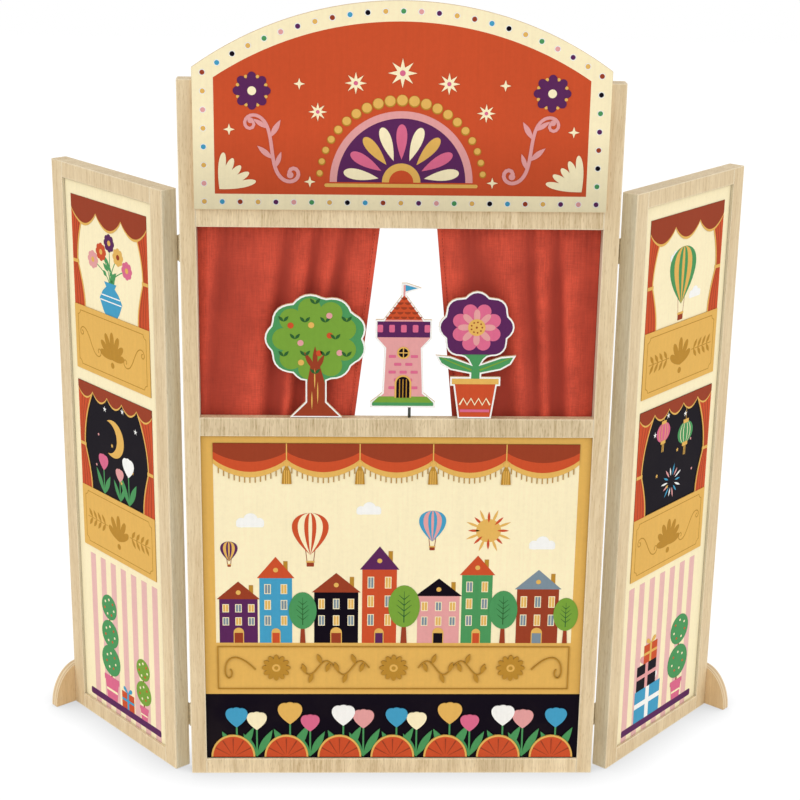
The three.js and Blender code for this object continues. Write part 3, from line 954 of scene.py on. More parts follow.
@dataclass(frozen=True)
class ClothFinish(Finish):
    """Soft woven cotton with a little sheen, with painted shade in the valleys of its folds, which lie
    further back.
    """

    pale: Rgb
    dark: Rgb
    threads_per_mm: float = 1.6
    sheen: float = 0.05
    ridge: float = 2.8  # how far back the ridges lie, which keep their pale colour
    valley: float = 8.8  # and the valleys between them, which are painted dark as shade

    def make(self, dress: Dresser) -> Material:
        """Wires the weave, the painted shade of the fold valleys and the sheen.

        Args:
            dress: The start of the material.

        Returns:
            The material.
        """
        tones = {"Pale": linear(self.pale), "Dark": linear(self.dark)}
        depths = {"Ridge": self.ridge * MM, "Valley": self.valley * MM}
        cloth = dress.effect("plain_weave", Threads=math.pi * self.threads_per_mm / MM, **tones, **depths)
        dress.shader["Sheen Weight"].default_value = self.sheen
        dress.shader["Sheen Roughness"].default_value = 0.5
        dress.shader["Specular IOR Level"].default_value = 0.15
        return dress.finish(cloth["Colour"], cloth, 0.00012)


@dataclass(frozen=True)
class MetalFinish(Finish):
    """Plain small hardware."""

    metal: Rgb
    metallic: float = 1.0

    def make(self, dress: Dresser) -> Material:
        """Wires the drawn metal.

        Args:
            dress: The start of the material.

        Returns:
            The material.
        """
        metal = dress.effect("drawn_metal", Metal=linear(self.metal))
        dress.shader["Metallic"].default_value = self.metallic
        return dress.finish(metal["Colour"], metal, 0.00003)


FRAME_WOODS = [
    WoodFinish(f"sanded_frame_wood_{number}", (241, 219, 178), (208, 180, 136), 0.9, shift)
    for number, shift in enumerate((0.0, 0.61, 1.37, 2.11), start=1)
]
RAIL_WOOD = WoodFinish("short_grained_rail_wood", (252, 231, 191), (196, 168, 123), 0.9, 0.83)
LEDGE_WOOD = WoodFinish("ledge_rail_wood", (243, 222, 183), (178, 152, 108), 0.9, 1.71)
DOWEL_WOOD = WoodFinish("turned_dowel_wood", (226, 200, 156), (196, 160, 116), 0.8)
PANEL_BACK = WoodFinish("panel_back", (222, 196, 152), (190, 158, 112), 0.8, 3.3)
FOOT_FACE = WoodFinish("foot_face", (240, 210, 162), (214, 180, 130), 0.7)
CARD_FACE = WoodFinish("card_face", (226, 203, 160), (196, 166, 120), 0.7)
CURTAIN_CLOTH = ClothFinish("woven_curtain_cloth", (250, 101, 74), (162, 59, 45))
CURTAIN_THREAD = ClothFinish("curtain_thread", (150, 46, 36), (118, 34, 28), 4.0)
HINGE_METAL = MetalFinish("brassed_hinge_metal", (232, 216, 180), 0.45)
SCREW_METAL = MetalFinish("screw_metal", (170, 158, 130))
FIGURE_WIRE = MetalFinish("oxide_figure_wire", (84, 90, 88))


def dress_nodes(finish: Finish, *nodes: str) -> None:
    """Gives CAD nodes a finish in their objects' own slots.

    Args:
        finish: The finish.
        *nodes: The nodes' names.
    """
    for node in nodes:
        piece = frame["nodes"][node]
        if not piece.material_slots:
            piece.data.materials.append(finish.material())
        for slot in piece.material_slots:
            slot.material = finish.material()


def dress_ply(node: str, name: str) -> None:
    """Gives a node whose boards lie along Y the finish of thin plywood."""
    dress_nodes(PlyFinish(name, CARD_FACE, (0.0, 1.0, 0.0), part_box(node)[0].y / MM, 1.0), node)


@dataclass
class Rod:
    """A round rod with eased ends, along X or Z, that stands in for one of the frame's."""

    name: str
    node: str
    body: str
    finish: Finish
    slot: str
    radius: float
    tip_radius: float
    ease: float
    sides: int = 32

    def build(self) -> None:
        """Makes the rod."""
        low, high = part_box(self.node)
        x, y, z = middle_of(self.node)
        lying = high.x - low.x > high.z - low.z
        length = (high.x - low.x if lying else high.z - low.z) / MM
        start = Vector((low.x, y, z) if lying else (x, y, low.z))
        ease, radius = self.ease, self.radius
        profile = [(0, self.tip_radius), (ease, radius), (length - ease, radius), (length, self.tip_radius)]
        mesh = bmesh.new()
        turned(mesh, start, ACROSS if lying else UP, profile, self.sides)
        made = finished(self.name, mesh, self.finish.material(), smooth=True)
        declare(made, self.body, self.node)


@dataclass
class Screw:
    """A countersunk screw head with a cross recess, flush with the face that it is driven into."""

    name: str
    body: str
    radius: float = 2.2
    slot: str = "hinge_metal"

    def build(self, place: Vector, axis: Vector) -> None:
        """Makes the screw.

        Args:
            place: The middle of its head's face, in metres.
            axis: The direction that its head faces.
        """
        aside = axis.orthogonal().normalized()
        face = Face(place, aside, axis.cross(aside), axis)
        arm, half = self.radius * 0.62, self.radius * 0.14
        corners = [(arm, -half), (arm, half), (half, half), (half, arm), (-half, arm), (-half, half)]
        corners += [(-u, -v) for u, v in corners]
        mesh = bmesh.new()
        slab(mesh, face, [disc((0, 0), self.radius, 28), corners], -0.35 * self.radius, 0.06)
        profile = [(0, self.radius * 0.5), (self.radius * 0.55, self.radius * 0.98)]
        turned(mesh, place - axis * self.radius * 0.9 * MM, axis, profile, 28)
        declare(finished(self.name, mesh, SCREW_METAL.material()), self.body)


# Prints


@dataclass
class Print:
    """The print on one face, gathered ink by ink and laid as thin slabs a hair above the board.

    Its other methods draw the small generic pictures and ornaments that the prints are put together from.
    """

    name: str
    face: Face
    body: str
    slot: str
    layer: int = 1
    top: int = 1
    step: float = 0.045  # by which each layer stands above the last
    hair: float = 0.0045  # by which slabs of one layer differ, so that none lie in one plane
    turns: int = 9
    root: float = 0.03  # by which every slab is sunk into the board
    count: int = 0
    laid: dict[Ink, list[tuple[float, Sequence[Outline]]]] = field(default_factory=dict)

    def lay(self, ink: Ink, *outlines: Outline) -> None:
        """Lays outlines in one ink on the present layer."""
        for outline in outlines:
            self.lay_pierced(ink, outline)

    def lay_pierced(self, ink: Ink, *loops: Outline) -> None:
        """Lays an outline with openings in it.

        Args:
            ink: Its ink.
            *loops: The outline, and then the openings.
        """
        height = self.layer * self.step + self.count % self.turns * self.hair
        self.laid.setdefault(ink, []).append((height, loops))
        self.count += 1

    def both(self, ink: Ink, *outlines: Outline) -> None:
        """Lays outlines and their mirror images about the face's middle line."""
        self.lay(ink, *outlines, *[mirrored(outline) for outline in outlines])

    def over(self) -> None:
        """Starts the next layer up."""
        self.layer += 1

    @contextmanager
    def motif(self) -> Iterator[None]:
        """Lets a motif use layers of its own: what follows it starts where the motif did.

        Returns:
            The context to draw the motif in.
        """
        start = self.layer
        yield
        self.top = max(self.top, self.layer)
        self.layer = start

    def clear(self) -> None:
        """Starts the layer over all the motifs so far."""
        self.layer = self.top = max(self.top, self.layer) + 1

    def build(self) -> None:
        """Makes one object for each ink."""
        for ink, slabs in self.laid.items():
            mesh = bmesh.new()
            for height, loops in slabs:
                slab(mesh, self.face, loops, -self.root, height)
            made = finished(f"{self.name}_{ink.word}_ink", mesh, InkFinish(f"ink_{ink.word}", ink).material())
            declare(made, self.body)
        log.info("%s: %d inks, %d layers", self.name, len(self.laid), max(self.top, self.layer))

    def bloom(self, centre: Point, radius: float, petal: Ink, heart: Ink) -> None:
        """Draws a round flower head.

        Args:
            centre: Its middle.
            radius: Its radius.
            petal: Its petals' ink.
            heart: The ink of its middle.
        """
        with self.motif():
            self.lay(petal, *[drop(centre, 45 * i, radius, radius * 0.7, 9) for i in range(8)])
            self.over()
            self.lay(heart, disc(centre, radius * 0.3, 16))

    def stem(self, foot: Point, top: Point, ink: Ink) -> None:
        """Draws a bent stem with two leaves.

        Args:
            foot: Where the stem starts.
            top: Where it ends.
            ink: Its ink.
        """
        width, run, rise = 1.4, top[0] - foot[0], top[1] - foot[1]
        shares = [i / 10 for i in range(11)]
        path = [(foot[0] + run * t - run * 0.35 * math.sin(math.pi * t), foot[1] + rise * t) for t in shares]
        self.lay(ink, brush(path, width, width * 0.7))
        for base, heading in ((path[2], 140), (path[5], 40)):
            self.lay(ink, blade(base, heading, rise * 0.32, width * 3.4))

    def tulip(self, foot: Point, height: float, cup: Ink) -> None:
        """Draws a tulip with green leaves and a cup of three petals.

        Args:
            foot: Its stem's foot.
            height: Its height.
            cup: The petals' ink.
        """
        u, v = foot
        self.lay(Ink.GREEN, bar(u, v, v + height * 0.72, 0.9))
        for heading, share in ((62, 0.7), (118, 0.6)):
            self.lay(Ink.GREEN, blade(foot, heading, height * share, height * 0.16))
        base = (u, v + height * 0.62)
        with self.motif():
            self.over()
            self.lay(cup, *[drop(base, heading, height * 0.42, height * 0.24) for heading in (72, 90, 108)])

    def tree(self, foot: Point, height: float, leaf: Ink) -> None:
        """Draws a tree with an oval crown and the branches drawn on it.

        Args:
            foot: Its trunk's foot.
            height: Its height.
            leaf: The crown's ink.
        """
        u, v = foot
        with self.motif():
            self.lay(Ink.BRICK, along(foot, 90, height * 0.5, [(0, height * 0.05), (1, height * 0.022)]))
            self.over()
            self.lay(leaf, disc((u, v + height * 0.64), height * 0.25, 28, 1.45))
            self.over()
            trunk = [(u, v + height * 0.36), (u, v + height * 0.9)]
            self.lay(Ink.FOREST, brush(trunk, height * 0.018, height * 0.006))
            twig = [(0, height * 0.008), (1, height * 0.003)]
            for share in (0.46, 0.56, 0.66, 0.76):
                base, reach = (u, v + height * share), height * (0.16 - 0.25 * abs(share - 0.56))
                self.lay(Ink.FOREST, *[along(base, heading, reach, twig) for heading in (42, 138)])

    def balloon(self, centre: Point, radius: float, stripe: Ink, other: Ink) -> None:
        """Draws a hot-air balloon.

        Args:
            centre: The middle of its envelope.
            radius: Its radius.
            stripe: The ink of its outer and middle stripes.
            other: The ink of those between them.
        """
        u, v = centre
        mouth, basket, half = (u, v - radius * 1.45), v - radius * 1.85, radius * 0.2
        with self.motif():
            for way in (-1, 1):
                rope = [(u + way * half * 0.9, basket), (u + way * half * 1.3, v - radius * 1.12)]
                self.lay(Ink.BRICK, brush(rope, 0.7))
            self.lay(Ink.BRICK, bar(u, basket - radius * 0.3, basket, half, 0.8))
            self.over()
            self.lay(Ink.OCHRE, bar(u, basket - radius * 0.06, basket + radius * 0.04, half * 1.15))
            for share, ink in ((2.0, stripe), (1.36, other), (0.66, stripe), (0.2, other)):
                self.lay(ink, drop(mouth, 90, radius * 2.45, radius * share, 16))
                self.over()

    def cloud(self, centre: Point, width: float) -> None:
        """Draws a white cloud of three puffs on a flat base.

        Args:
            centre: Its middle.
            width: Its width.
        """
        u, v = centre
        puffs = ((-0.26, 0.0, 0.16), (0.02, 0.09, 0.22), (0.28, 0.01, 0.15))
        self.lay(Ink.WHITE, *[disc((u + width * a, v + width * b), width * r, 20) for a, b, r in puffs])
        base = block(u - width * 0.42, v - width * 0.15, u + width * 0.43, v + width * 0.02, width * 0.08)
        self.lay(Ink.WHITE, base)

    def lantern(self, top: Point, size: float, paper: Ink, rib: Ink) -> None:
        """Draws a hanging paper lantern.

        Args:
            top: Where its cord starts.
            size: Its width.
            paper: The ink of its paper.
            rib: The ink of its ribs.
        """
        u, v = top
        middle = v - size * 1.25
        with self.motif():
            self.lay(Ink.OCHRE, bar(u, middle, v, 0.4))
            self.over()
            for share, ink in ((1.0, paper), (0.68, rib), (0.6, paper), (0.3, rib), (0.22, paper)):
                self.lay(ink, disc((u, middle), size / 2 * share, 24, 0.84 / share))
                self.over()
            for low in (middle - size * 0.5, middle + size * 0.36):
                self.lay(Ink.OCHRE, bar(u, low, low + size * 0.14, size * 0.17, 0.6))
            for i in (-1, 0, 1):
                self.lay(Ink.OCHRE, bar(u + i * 1.6, middle - size * 0.85, middle - size * 0.5, 0.35))

    def moon(self, centre: Point, radius: float) -> None:
        """Draws a crescent moon."""
        inner = arc((centre[0] + radius * 0.5, centre[1]), radius * 0.866, 270, 90, 20)
        self.lay(Ink.OCHRE, arc(centre, radius, 60, 300, 26) + inner)

    def burst(self, centre: Point, radius: float, inks: Sequence[Ink], rays: int) -> None:
        """Draws a ring of rays.

        Args:
            centre: The ring's middle.
            radius: How far out the rays start, and how long they are, is a share of this.
            inks: The inks that they take in turn.
            rays: How many there are.
        """
        for i in range(rays):
            heading = WHOLE_TURN * i / rays
            base, length = spot(centre, radius * 0.35, heading), radius * (0.65 if i % 2 else 0.5)
            self.lay(inks[i % len(inks)], blade(base, heading, length, radius * 0.11))

    def topiary(self, foot: Point, height: float, leaf: Ink, balls: int) -> None:
        """Draws a clipped tree in a pot.

        Args:
            foot: The pot's foot.
            height: The tree's whole height.
            leaf: The leaves' ink.
            balls: How many balls it is clipped into.
        """
        u, v = foot
        pot = height * 0.22
        radius, wide = (height - pot) / (balls * 2.25), pot * 1.05
        with self.motif():
            self.lay(Ink.BRICK, bar(u, v + pot, v + height * 0.8, 1.2))
            self.over()
            for i in range(balls):
                middle = (u, v + height - radius * (1 + 2.2 * i))
                with self.motif():
                    self.lay(leaf, disc(middle, radius * (1 + 0.12 * i), 24))
                    self.over()
                    for k in range(7):
                        fruit = disc(spot(middle, radius * 0.62, 90 + 51 * k), 1.5, 10)
                        self.lay(Ink.ORANGE if k % 2 else Ink.CREAM, fruit)
            with self.motif():
                self.lay(Ink.ROSE, along(foot, 90, pot * 0.78, [(0, wide * 0.33), (1, wide * 0.44)]))
                self.lay(Ink.ROSE, bar(u, v + pot * 0.76, v + pot, wide / 2, 0.8))
                self.over()
                self.lay(Ink.CREAM, bar(u, v + pot * 0.34, v + pot * 0.44, wide * 0.37))

    def gift(self, foot: Point, width: float, height: float, paper: Ink, ribbon: Ink) -> None:
        """Draws a wrapped box with a bow.

        Args:
            foot: The middle of its lower edge.
            width: Its width.
            height: Its height.
            paper: The paper's ink.
            ribbon: The ribbon's ink.
        """
        u, v = foot
        with self.motif():
            loops = [drop((u, v + height), heading, width * 0.42, width * 0.2) for heading in (35, 145)]
            self.lay(ribbon, *loops)
            self.lay(paper, bar(u, v, v + height, width / 2))
            self.over()
            self.lay(ribbon, bar(u, v, v + height, width * 0.07))
            self.lay(ribbon, bar(u, v + height * 0.45, v + height * 0.45 + width * 0.12, width / 2))

    def vase(self, foot: Point, height: float, blooms: Sequence[Ink]) -> None:
        """Draws a blue vase of flowers.

        Args:
            foot: The vase's foot.
            height: The height of vase and flowers together.
            blooms: The flowers' inks.
        """
        u, v = foot
        body = height * 0.4
        tops = []
        for i in range(len(blooms)):
            lean = (i / (len(blooms) - 1) - 0.5) * 2
            tops.append((u + lean * height * 0.36, v + height * (0.88 - 0.26 * lean * lean - 0.07 * (i % 2))))
            self.stem((u + lean * 2, v + body * 0.8), tops[-1], Ink.GREEN)
        self.over()
        for ink, top in zip(blooms, tops):
            self.bloom(top, height * 0.11, ink, Ink.OCHRE if ink is not Ink.OCHRE else Ink.BRICK)
        swell = ((0, 0.13), (0.12, 0.17), (0.45, 0.24), (0.7, 0.17), (0.86, 0.09), (1, 0.13))
        self.lay(Ink.SKY, along(foot, 90, body, [(share, half * height) for share, half in swell]))
        self.over()
        for share, half in ((0.4, 0.225), (0.56, 0.2)):
            self.lay(Ink.WHITE, bar(u, v + body * share, v + body * share + 1.3, half * height))

    def valance(
        self, left: float, right: float, top: float, bays: int, rows: Sequence[tuple[Ink, float, float]]
    ) -> None:
        """Draws a hanging valance in rows of scallops, each over the last.

        Args:
            left: The valance's left end.
            right: Its right end.
            top: Its upper edge.
            bays: How many bays it has.
            rows: Each row's ink, how far its points hang down and how far its bays hang below them.
        """
        pitch, shares = (right - left) / bays, [k / 14 for k in range(15)]
        for ink, hem, dip in rows:
            for start in (left + bay * pitch for bay in range(bays)):
                curve = [(start + s * pitch, top - hem - dip * math.sin(math.pi * s) ** 0.8) for s in shares]
                self.lay(ink, curve + [(start + pitch, top), (start, top)])
            self.over()

    def parapet(self, left: float, low: float, right: float, high: float, flourish: bool) -> None:
        """Draws a balcony front with a line border and an ornament.

        Args:
            left: Its left edge.
            low: Its lower edge.
            right: Its right edge.
            high: Its upper edge.
            flourish: Whether its ornament is scrolls, and otherwise it is leaves.
        """
        self.lay(Ink.OCHRE, block(left, low, right, high))
        self.over()
        margin, notch, line = 5.5, 5.0, 0.8
        a, b, c, d = left + margin, low + margin, right - margin, high - margin
        corners = (((a, b), 90), ((c, b), 180), ((c, d), 270), ((a, d), 360))
        border = [point for corner, start in corners for point in arc(corner, notch, start, start - 90, 6)]
        self.lay_pierced(Ink.GILT, border, inset(border, line))
        middle, centre, height = (a + c) / 2, (b + d) / 2, d - b
        heart = centre - height * 0.2
        petals, opening = (7, 150) if flourish else (5, 110)
        for share in (i / (petals - 1) - 0.5 for i in range(petals)):
            length = height * 0.5 * (1 - 0.9 * share * share)
            self.lay(Ink.GILT, drop((middle, heart), 90 + opening * share, length, height * 0.5 * 0.26))
        self.lay(Ink.GILT, disc((middle, heart - height * 0.1), height * 0.055, 14))
        reach = (c - a) * 0.3
        for way in (-1, 1):
            near = middle + way * height * 0.36
            far = near + way * reach
            if flourish:
                foot, head = centre - height * 0.24, centre + height * 0.2
                scroll = fitted(winding(SCROLL_BENDS), near, foot, far, head)
                self.lay(Ink.GILT, brush(scroll, 1.1))
            else:
                for i in range(4):
                    stalk = (near + way * reach * (0.1 + 0.22 * i), centre)
                    for heading in (55, -55):
                        turn = heading if way > 0 else 180 - heading
                        self.lay(Ink.GILT, blade(stalk, turn, height * 0.2, height * 0.07))
                self.lay(Ink.GILT, brush([(near, centre), (far, centre)], 0.8))


# Wooden frame, boards and their prints


@dataclass
class StageFrame:
    """The frame round the stage, its curtain rod and the screws that hold the crown."""

    crown_screw_places: tuple[float, ...] = (-140, 0, 140)
    crown_screw_radius: float = 3.0

    def build(self) -> None:
        """Dresses the frame's nodes, makes the rod and drives the crown's screws."""
        for part, wood in zip(("left_stile", "right_stile"), FRAME_WOODS):
            dress_nodes(wood, part)
        dress_nodes(RAIL_WOOD, "bottom_rail", "upper_rail", "top_rail")
        dress_nodes(LEDGE_WOOD, "middle_rail")
        dress_nodes(DOWEL_WOOD, *[node for node in frame["nodes"] if node.endswith("_dowel")])
        names = ("curtain_rod_turned", "curtain_rod", "stage_frame")
        Rod(*names, DOWEL_WOOD, "frame_wood", radius=2.5, tip_radius=2.0, ease=0.5).build()
        for rail, share in (("top_rail", 0.5), ("upper_rail", 0.66)):
            low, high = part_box(rail)
            for number, u in enumerate(self.crown_screw_places, start=1):
                place = Vector((u * MM, high.y, low.z + share * (high.z - low.z)))
                Screw(f"{rail}_screw_{number}", "stage_frame", self.crown_screw_radius).build(place, BACK)


@dataclass
class Crown:
    """The arched board over the stage, with its dotted border and its field of ornaments."""

    side_border: float = 20.5
    foot_border: float = 15.5
    arch_border: float = 19.2
    dot_radius: float = 2.4
    dots_on_arch: int = 24
    dots_on_side: int = 7
    dots_on_foot: int = 22
    fan_foot: float = 28
    fan_radius: float = 62
    beads: int = 21

    def __post_init__(self) -> None:
        """Reads the board's outline from its node."""
        low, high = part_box("crown_board")
        points = [v.co for v in frame["nodes"]["crown_board"].data.vertices]
        edge = max(p.x for p in points)
        shoulder = max(p.z for p in points if p.x > edge - MM / 10)
        self.half = edge / MM
        rise = (high.z - shoulder) / MM
        self.radius = (self.half**2 + rise**2) / (2 * rise)
        self.centre = (0.0, (high.z - low.z) / MM - self.radius)
        self.sheet = Print("crown", facing_audience(0, low.y, low.z), "stage_frame", "crown_print")

    def arched(self, side: float, foot: float, arch: float, steps: int = 48) -> Outline:
        """The board's outline drawn in by a border.

        Args:
            side: The border at the sides.
            foot: The border at the foot.
            arch: The border along the arch.
            steps: How many steps along the arch.

        Returns:
            The outline, from its lower left.
        """
        half, radius = self.half - side, self.radius - arch
        start = math.degrees(math.acos(half / radius))
        return [(-half, foot), (half, foot), *arc(self.centre, radius, start, 180 - start, steps)]

    def build(self) -> None:
        """Dresses the board and lays its print."""
        dress_ply("crown_board", "crown_ply")
        self.sheet.lay(Ink.CREAM, self.arched(0.25, 0.25, 0.25))
        self.sheet.over()
        self.sheet.lay(Ink.ORANGE, self.arched(self.side_border, self.foot_border, self.arch_border))
        self.dots()
        self.fan()
        self.wings_of_field()
        self.sheet.build()

    def dots(self) -> None:
        """Lays the coloured dots round the border."""
        borders = (self.side_border / 2, self.foot_border / 2, self.arch_border / 2)
        (left, low), (right, _), *places = self.arched(*borders, self.dots_on_arch)
        rise, run = (places[0][1] - low) / self.dots_on_side, (right - left) / self.dots_on_foot
        for i in range(self.dots_on_side):
            places += [(left, low + i * rise), (right, low + i * rise)]
        places += [(left + i * run, low) for i in range(1, self.dots_on_foot)]
        inks = (Ink.BRICK, Ink.OCHRE, Ink.PURPLE, Ink.PINK, Ink.GREEN, Ink.OCHRE, Ink.NIGHT, Ink.SKY)
        self.sheet.lay(Ink.WHITE, *[disc(place, self.dot_radius + 0.7, 18) for place in places])
        self.sheet.over()
        for i, place in enumerate(places):
            self.sheet.lay(inks[i % len(inks)], disc(place, self.dot_radius, 18))

    def fan(self) -> None:
        """Lays the half-round fan in the middle, with its beads and stars."""
        sheet, foot, radius = self.sheet, (0.0, self.fan_foot), self.fan_radius
        for ink, size in ((Ink.PINK, radius + 7), (Ink.PURPLE, radius)):
            sheet.lay(ink, arc(foot, size, 0, 180, 40))
            sheet.over()
        petals = 9
        for i in range(petals):
            heading = 10 + 160 * i / (petals - 1)
            ink = (Ink.CREAM, Ink.ROSE, Ink.OCHRE)[i % 3 if i < 5 else (petals - 1 - i) % 3]
            sheet.lay(ink, drop(spot(foot, radius * 0.36, heading), heading, radius * 0.55, radius * 0.17))
        sheet.lay(Ink.OCHRE, arc(foot, radius * 0.3, 0, 180, 24))
        sheet.over()
        sheet.lay(Ink.ORANGE, arc(foot, radius * 0.19, 0, 180, 18))
        sheet.lay(Ink.OCHRE, bar(0, foot[1] - 5, foot[1] - 1.5, radius + 12, 1.7))
        headings = [6 + 168 * i / (self.beads - 1) for i in range(self.beads)]
        beads = [(spot(foot, radius + 17, a), 2.8 + 2.4 * math.sin(math.radians(a)) ** 2) for a in headings]
        sheet.lay(Ink.GILT, *[disc(place, size + 0.6, 18) for place, size in beads])
        sheet.over()
        sheet.lay(Ink.OCHRE, *[disc((u, v + 0.5), size - 0.2, 18) for (u, v), size in beads])
        sizes = ((40, 9), (65, 10.5), (90, 14), (115, 10.5), (140, 9))
        stars = [(spot(foot, radius + 43, heading), size) for heading, size in sizes]
        sheet.lay(Ink.CREAM, *[star(place, size, size * 0.4, 8) for place, size in stars])
        sheet.over()
        sheet.lay(Ink.ROSE, *[disc(place, size * 0.2, 12) for place, size in stars])

    def wings_of_field(self) -> None:
        """Lays the scrolls, rosettes and corner fans on both sides of the fan."""
        sheet = self.sheet
        scroll = fitted(winding(SCROLL_BENDS, 25), 99, 28, 150, 92)
        sheet.both(Ink.PINK, brush(scroll, 3.8, 3.0))
        sheet.both(Ink.PINK, disc(scroll[0], 3.2, 16), disc(scroll[-1], 2.8, 16))
        for place, turn, length in ((17, 38, 17), (20, -40, 20), (27, 40, 20), (30, -38, 17)):
            before, after = scroll[place - 1], scroll[place + 1]
            heading = math.degrees(math.atan2(after[1] - before[1], after[0] - before[0]))
            sheet.both(Ink.PINK, blade(scroll[place], heading + turn, length, length * 0.27))
        for heading, length in ((97, 36), (114, 33), (132, 31), (150, 33), (167, 36)):
            sheet.both(Ink.CREAM, drop((175, 20), heading, length, 7))
        rosette = (143, 115)
        for i in range(8):
            sheet.both(Ink.PURPLE, drop(rosette, i * 45, 18, 9))
            sheet.both(Ink.OCHRE, disc(spot(rosette, 14.5, 22.5 + i * 45), 1.6, 12))
        for place in ((98, 122), (165, 78), (88, 28)):
            sheet.both(Ink.CREAM, star(place, 5.5, 1.9, 4))
        sheet.over()
        sheet.both(Ink.CREAM, disc(rosette, 4.2, 16))


@dataclass(frozen=True)
class House:
    """A house in the printed street: where it stands, its size and its inks."""

    left: float
    width: float
    height: float
    wall: Ink
    roof: Ink
    gable: float  # the roof's height
    floors: int


STREET = (
    House(-183, 40, 50, Ink.PURPLE, Ink.BRICK, 20, 2),
    House(-141, 34, 74, Ink.SKY, Ink.ORANGE, 24, 3),
    House(-84, 46, 58, Ink.NIGHT, Ink.BRICK, 22, 2),
    House(-34, 36, 84, Ink.ORANGE, Ink.PURPLE, 26, 3),
    House(24, 44, 54, Ink.PINK, Ink.NIGHT, 20, 2),
    House(70, 32, 78, Ink.GREEN, Ink.ORANGE, 22, 3),
    House(128, 44, 62, Ink.BRICK, Ink.SLATE, 22, 2),
)


@dataclass
class LowerPanel:
    """The printed board under the stage: a street under a valance, a balcony front and a flower bed."""

    border: float = 12.2
    head_border: float = 8
    bed_height: float = 76
    parapet_height: float = 60
    bays: int = 5
    shells: int = 7
    tuck: float = 2.0  # by which the print runs on under the frame

    def __post_init__(self) -> None:
        """Reads the part of the board that shows from the frame's nodes."""
        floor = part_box("bottom_rail")[1].z
        self.half = -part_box("left_stile")[1].x / MM
        self.height = (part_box("middle_rail")[0].z - floor) / MM
        self.inner = self.half - self.border  # half the width between the borders
        self.top = self.height - self.head_border
        self.sill = self.bed_height + self.parapet_height
        face = facing_audience(0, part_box("lower_panel")[0].y, floor)
        self.sheet = Print("lower_panel", face, "stage_frame", "stage_print")

    def build(self) -> None:
        """Dresses the board and lays its print."""
        dress_nodes(PANEL_BACK, "lower_panel")
        sheet, reach = self.sheet, self.half + self.tuck
        sheet.lay(Ink.OCHRE, bar(0, self.bed_height, self.height + self.tuck, reach))
        sheet.lay(Ink.NIGHT, bar(0, -self.tuck, self.bed_height, reach))
        sheet.over()
        sheet.lay(Ink.CREAM, bar(0, self.sill, self.top, self.inner))
        sheet.over()
        self.street()
        self.valance()
        self.parapet()
        self.flower_bed()
        sheet.build()

    def street(self) -> None:
        """Lays the houses, trees, balloons and clouds."""
        sheet, sill = self.sheet, self.sill
        sheet.lay(Ink.OCHRE, disc((96, sill + 128), 13, 28))
        sheet.burst((96, sill + 128), 25, (Ink.ORANGE, Ink.OCHRE), 16)
        for u, v, width in ((-150, 136, 34), (-28, 150, 30), (152, 112, 32)):
            sheet.cloud((u, sill + v), width)
        sheet.clear()
        sheet.balloon((-88, sill + 128), 19, Ink.ORANGE, Ink.CREAM)
        sheet.balloon((38, sill + 136), 14, Ink.SKY, Ink.PINK)
        sheet.balloon((-172, sill + 106), 9, Ink.PURPLE, Ink.OCHRE)
        for house in STREET:
            with sheet.motif():
                self.house(house)
        sheet.clear()
        for i, (u, height) in enumerate(((-96, 58), (10, 66), (114, 60), (180, 52))):
            sheet.tree((u, sill), height, Ink.LEAF if i % 2 else Ink.GREEN)
        sheet.clear()

    def house(self, house: House) -> None:
        """Lays one house with its roof, door and lit windows.

        Args:
            house: The house.
        """
        sheet, sill = self.sheet, self.sill
        left, right = house.left, house.left + house.width
        top, middle = sill + house.height, house.left + house.width / 2
        eave, door = 2.5, house.width * 0.11
        sheet.lay(house.wall, block(left, sill, right, top))
        sheet.lay(Ink.GILT, block(right - 9, top, right - 4.5, top + house.gable * 0.8))
        sheet.over()
        sheet.lay(house.roof, [(left - eave, top), (right + eave, top), (middle, top + house.gable)])
        sheet.over()
        sheet.lay(Ink.OCHRE, bar(middle, sill, sill + 12, door + 1))
        sheet.lay(Ink.OCHRE, arc((middle, sill + 12), door + 1, 0, 180, 12))
        sheet.lay(Ink.OCHRE, disc((middle, top + house.gable * 0.38), 2.6, 16))
        panes = 3 if house.width > 36 else 2
        rise = (house.height - 20) / house.floors
        step = house.width / panes
        windows = [
            (left + step * (pane + 0.5), sill + 20 + rise * floor, (floor + pane) % 2)
            for floor in range(house.floors)
            for pane in range(panes)
        ]
        for u, v, _ in windows:
            sheet.lay(Ink.CREAM, bar(u, v, v + rise * 0.62, 3.4))
        sheet.over()
        sheet.lay(house.roof, bar(middle, sill, sill + 11.5, door))
        for u, v, odd in windows:
            for start in (u - 2.6, u + 0.35):
                shutter = block(start, v + 0.8, start + 2.25, v + rise * 0.62 - 0.8)
                sheet.lay(Ink.OCHRE if odd else Ink.SLATE, shutter)

    def valance(self) -> None:
        """Lays the scalloped valance with its fringe and tassels."""
        sheet, top, inner = self.sheet, self.top, self.inner
        pitch = 2 * inner / self.bays
        for bay in range(self.bays):
            for share in (k / 14 for k in range(1, 14)):
                low = top - 22 - 15 * math.sin(math.pi * share) ** 0.8
                sheet.lay(Ink.GILT, bar(-inner + (bay + share) * pitch, low - 6, low + 1, 0.45))
        sheet.over()
        rows = ((Ink.OCHRE, 22, 15), (Ink.ORANGE, 17, 14), (Ink.BRICK, 9, 11))
        sheet.valance(-inner, inner, top, self.bays, rows)
        for bay in range(1, self.bays):
            u, knot = -inner + bay * pitch, top - 20
            sheet.lay(Ink.OCHRE, bar(u, knot, top, 0.6))
            sheet.lay(Ink.GILT, along((u, knot - 24), 90, 20, [(0, 5), (0.6, 4.2), (1, 1)]))
            sheet.over()
            sheet.lay(Ink.OCHRE, disc((u, knot - 2), 3, 16))
            sheet.lay(Ink.OCHRE, *[bar(u + i * 2.2, knot - 24, knot - 9, 0.5) for i in (-1, 0, 1)])

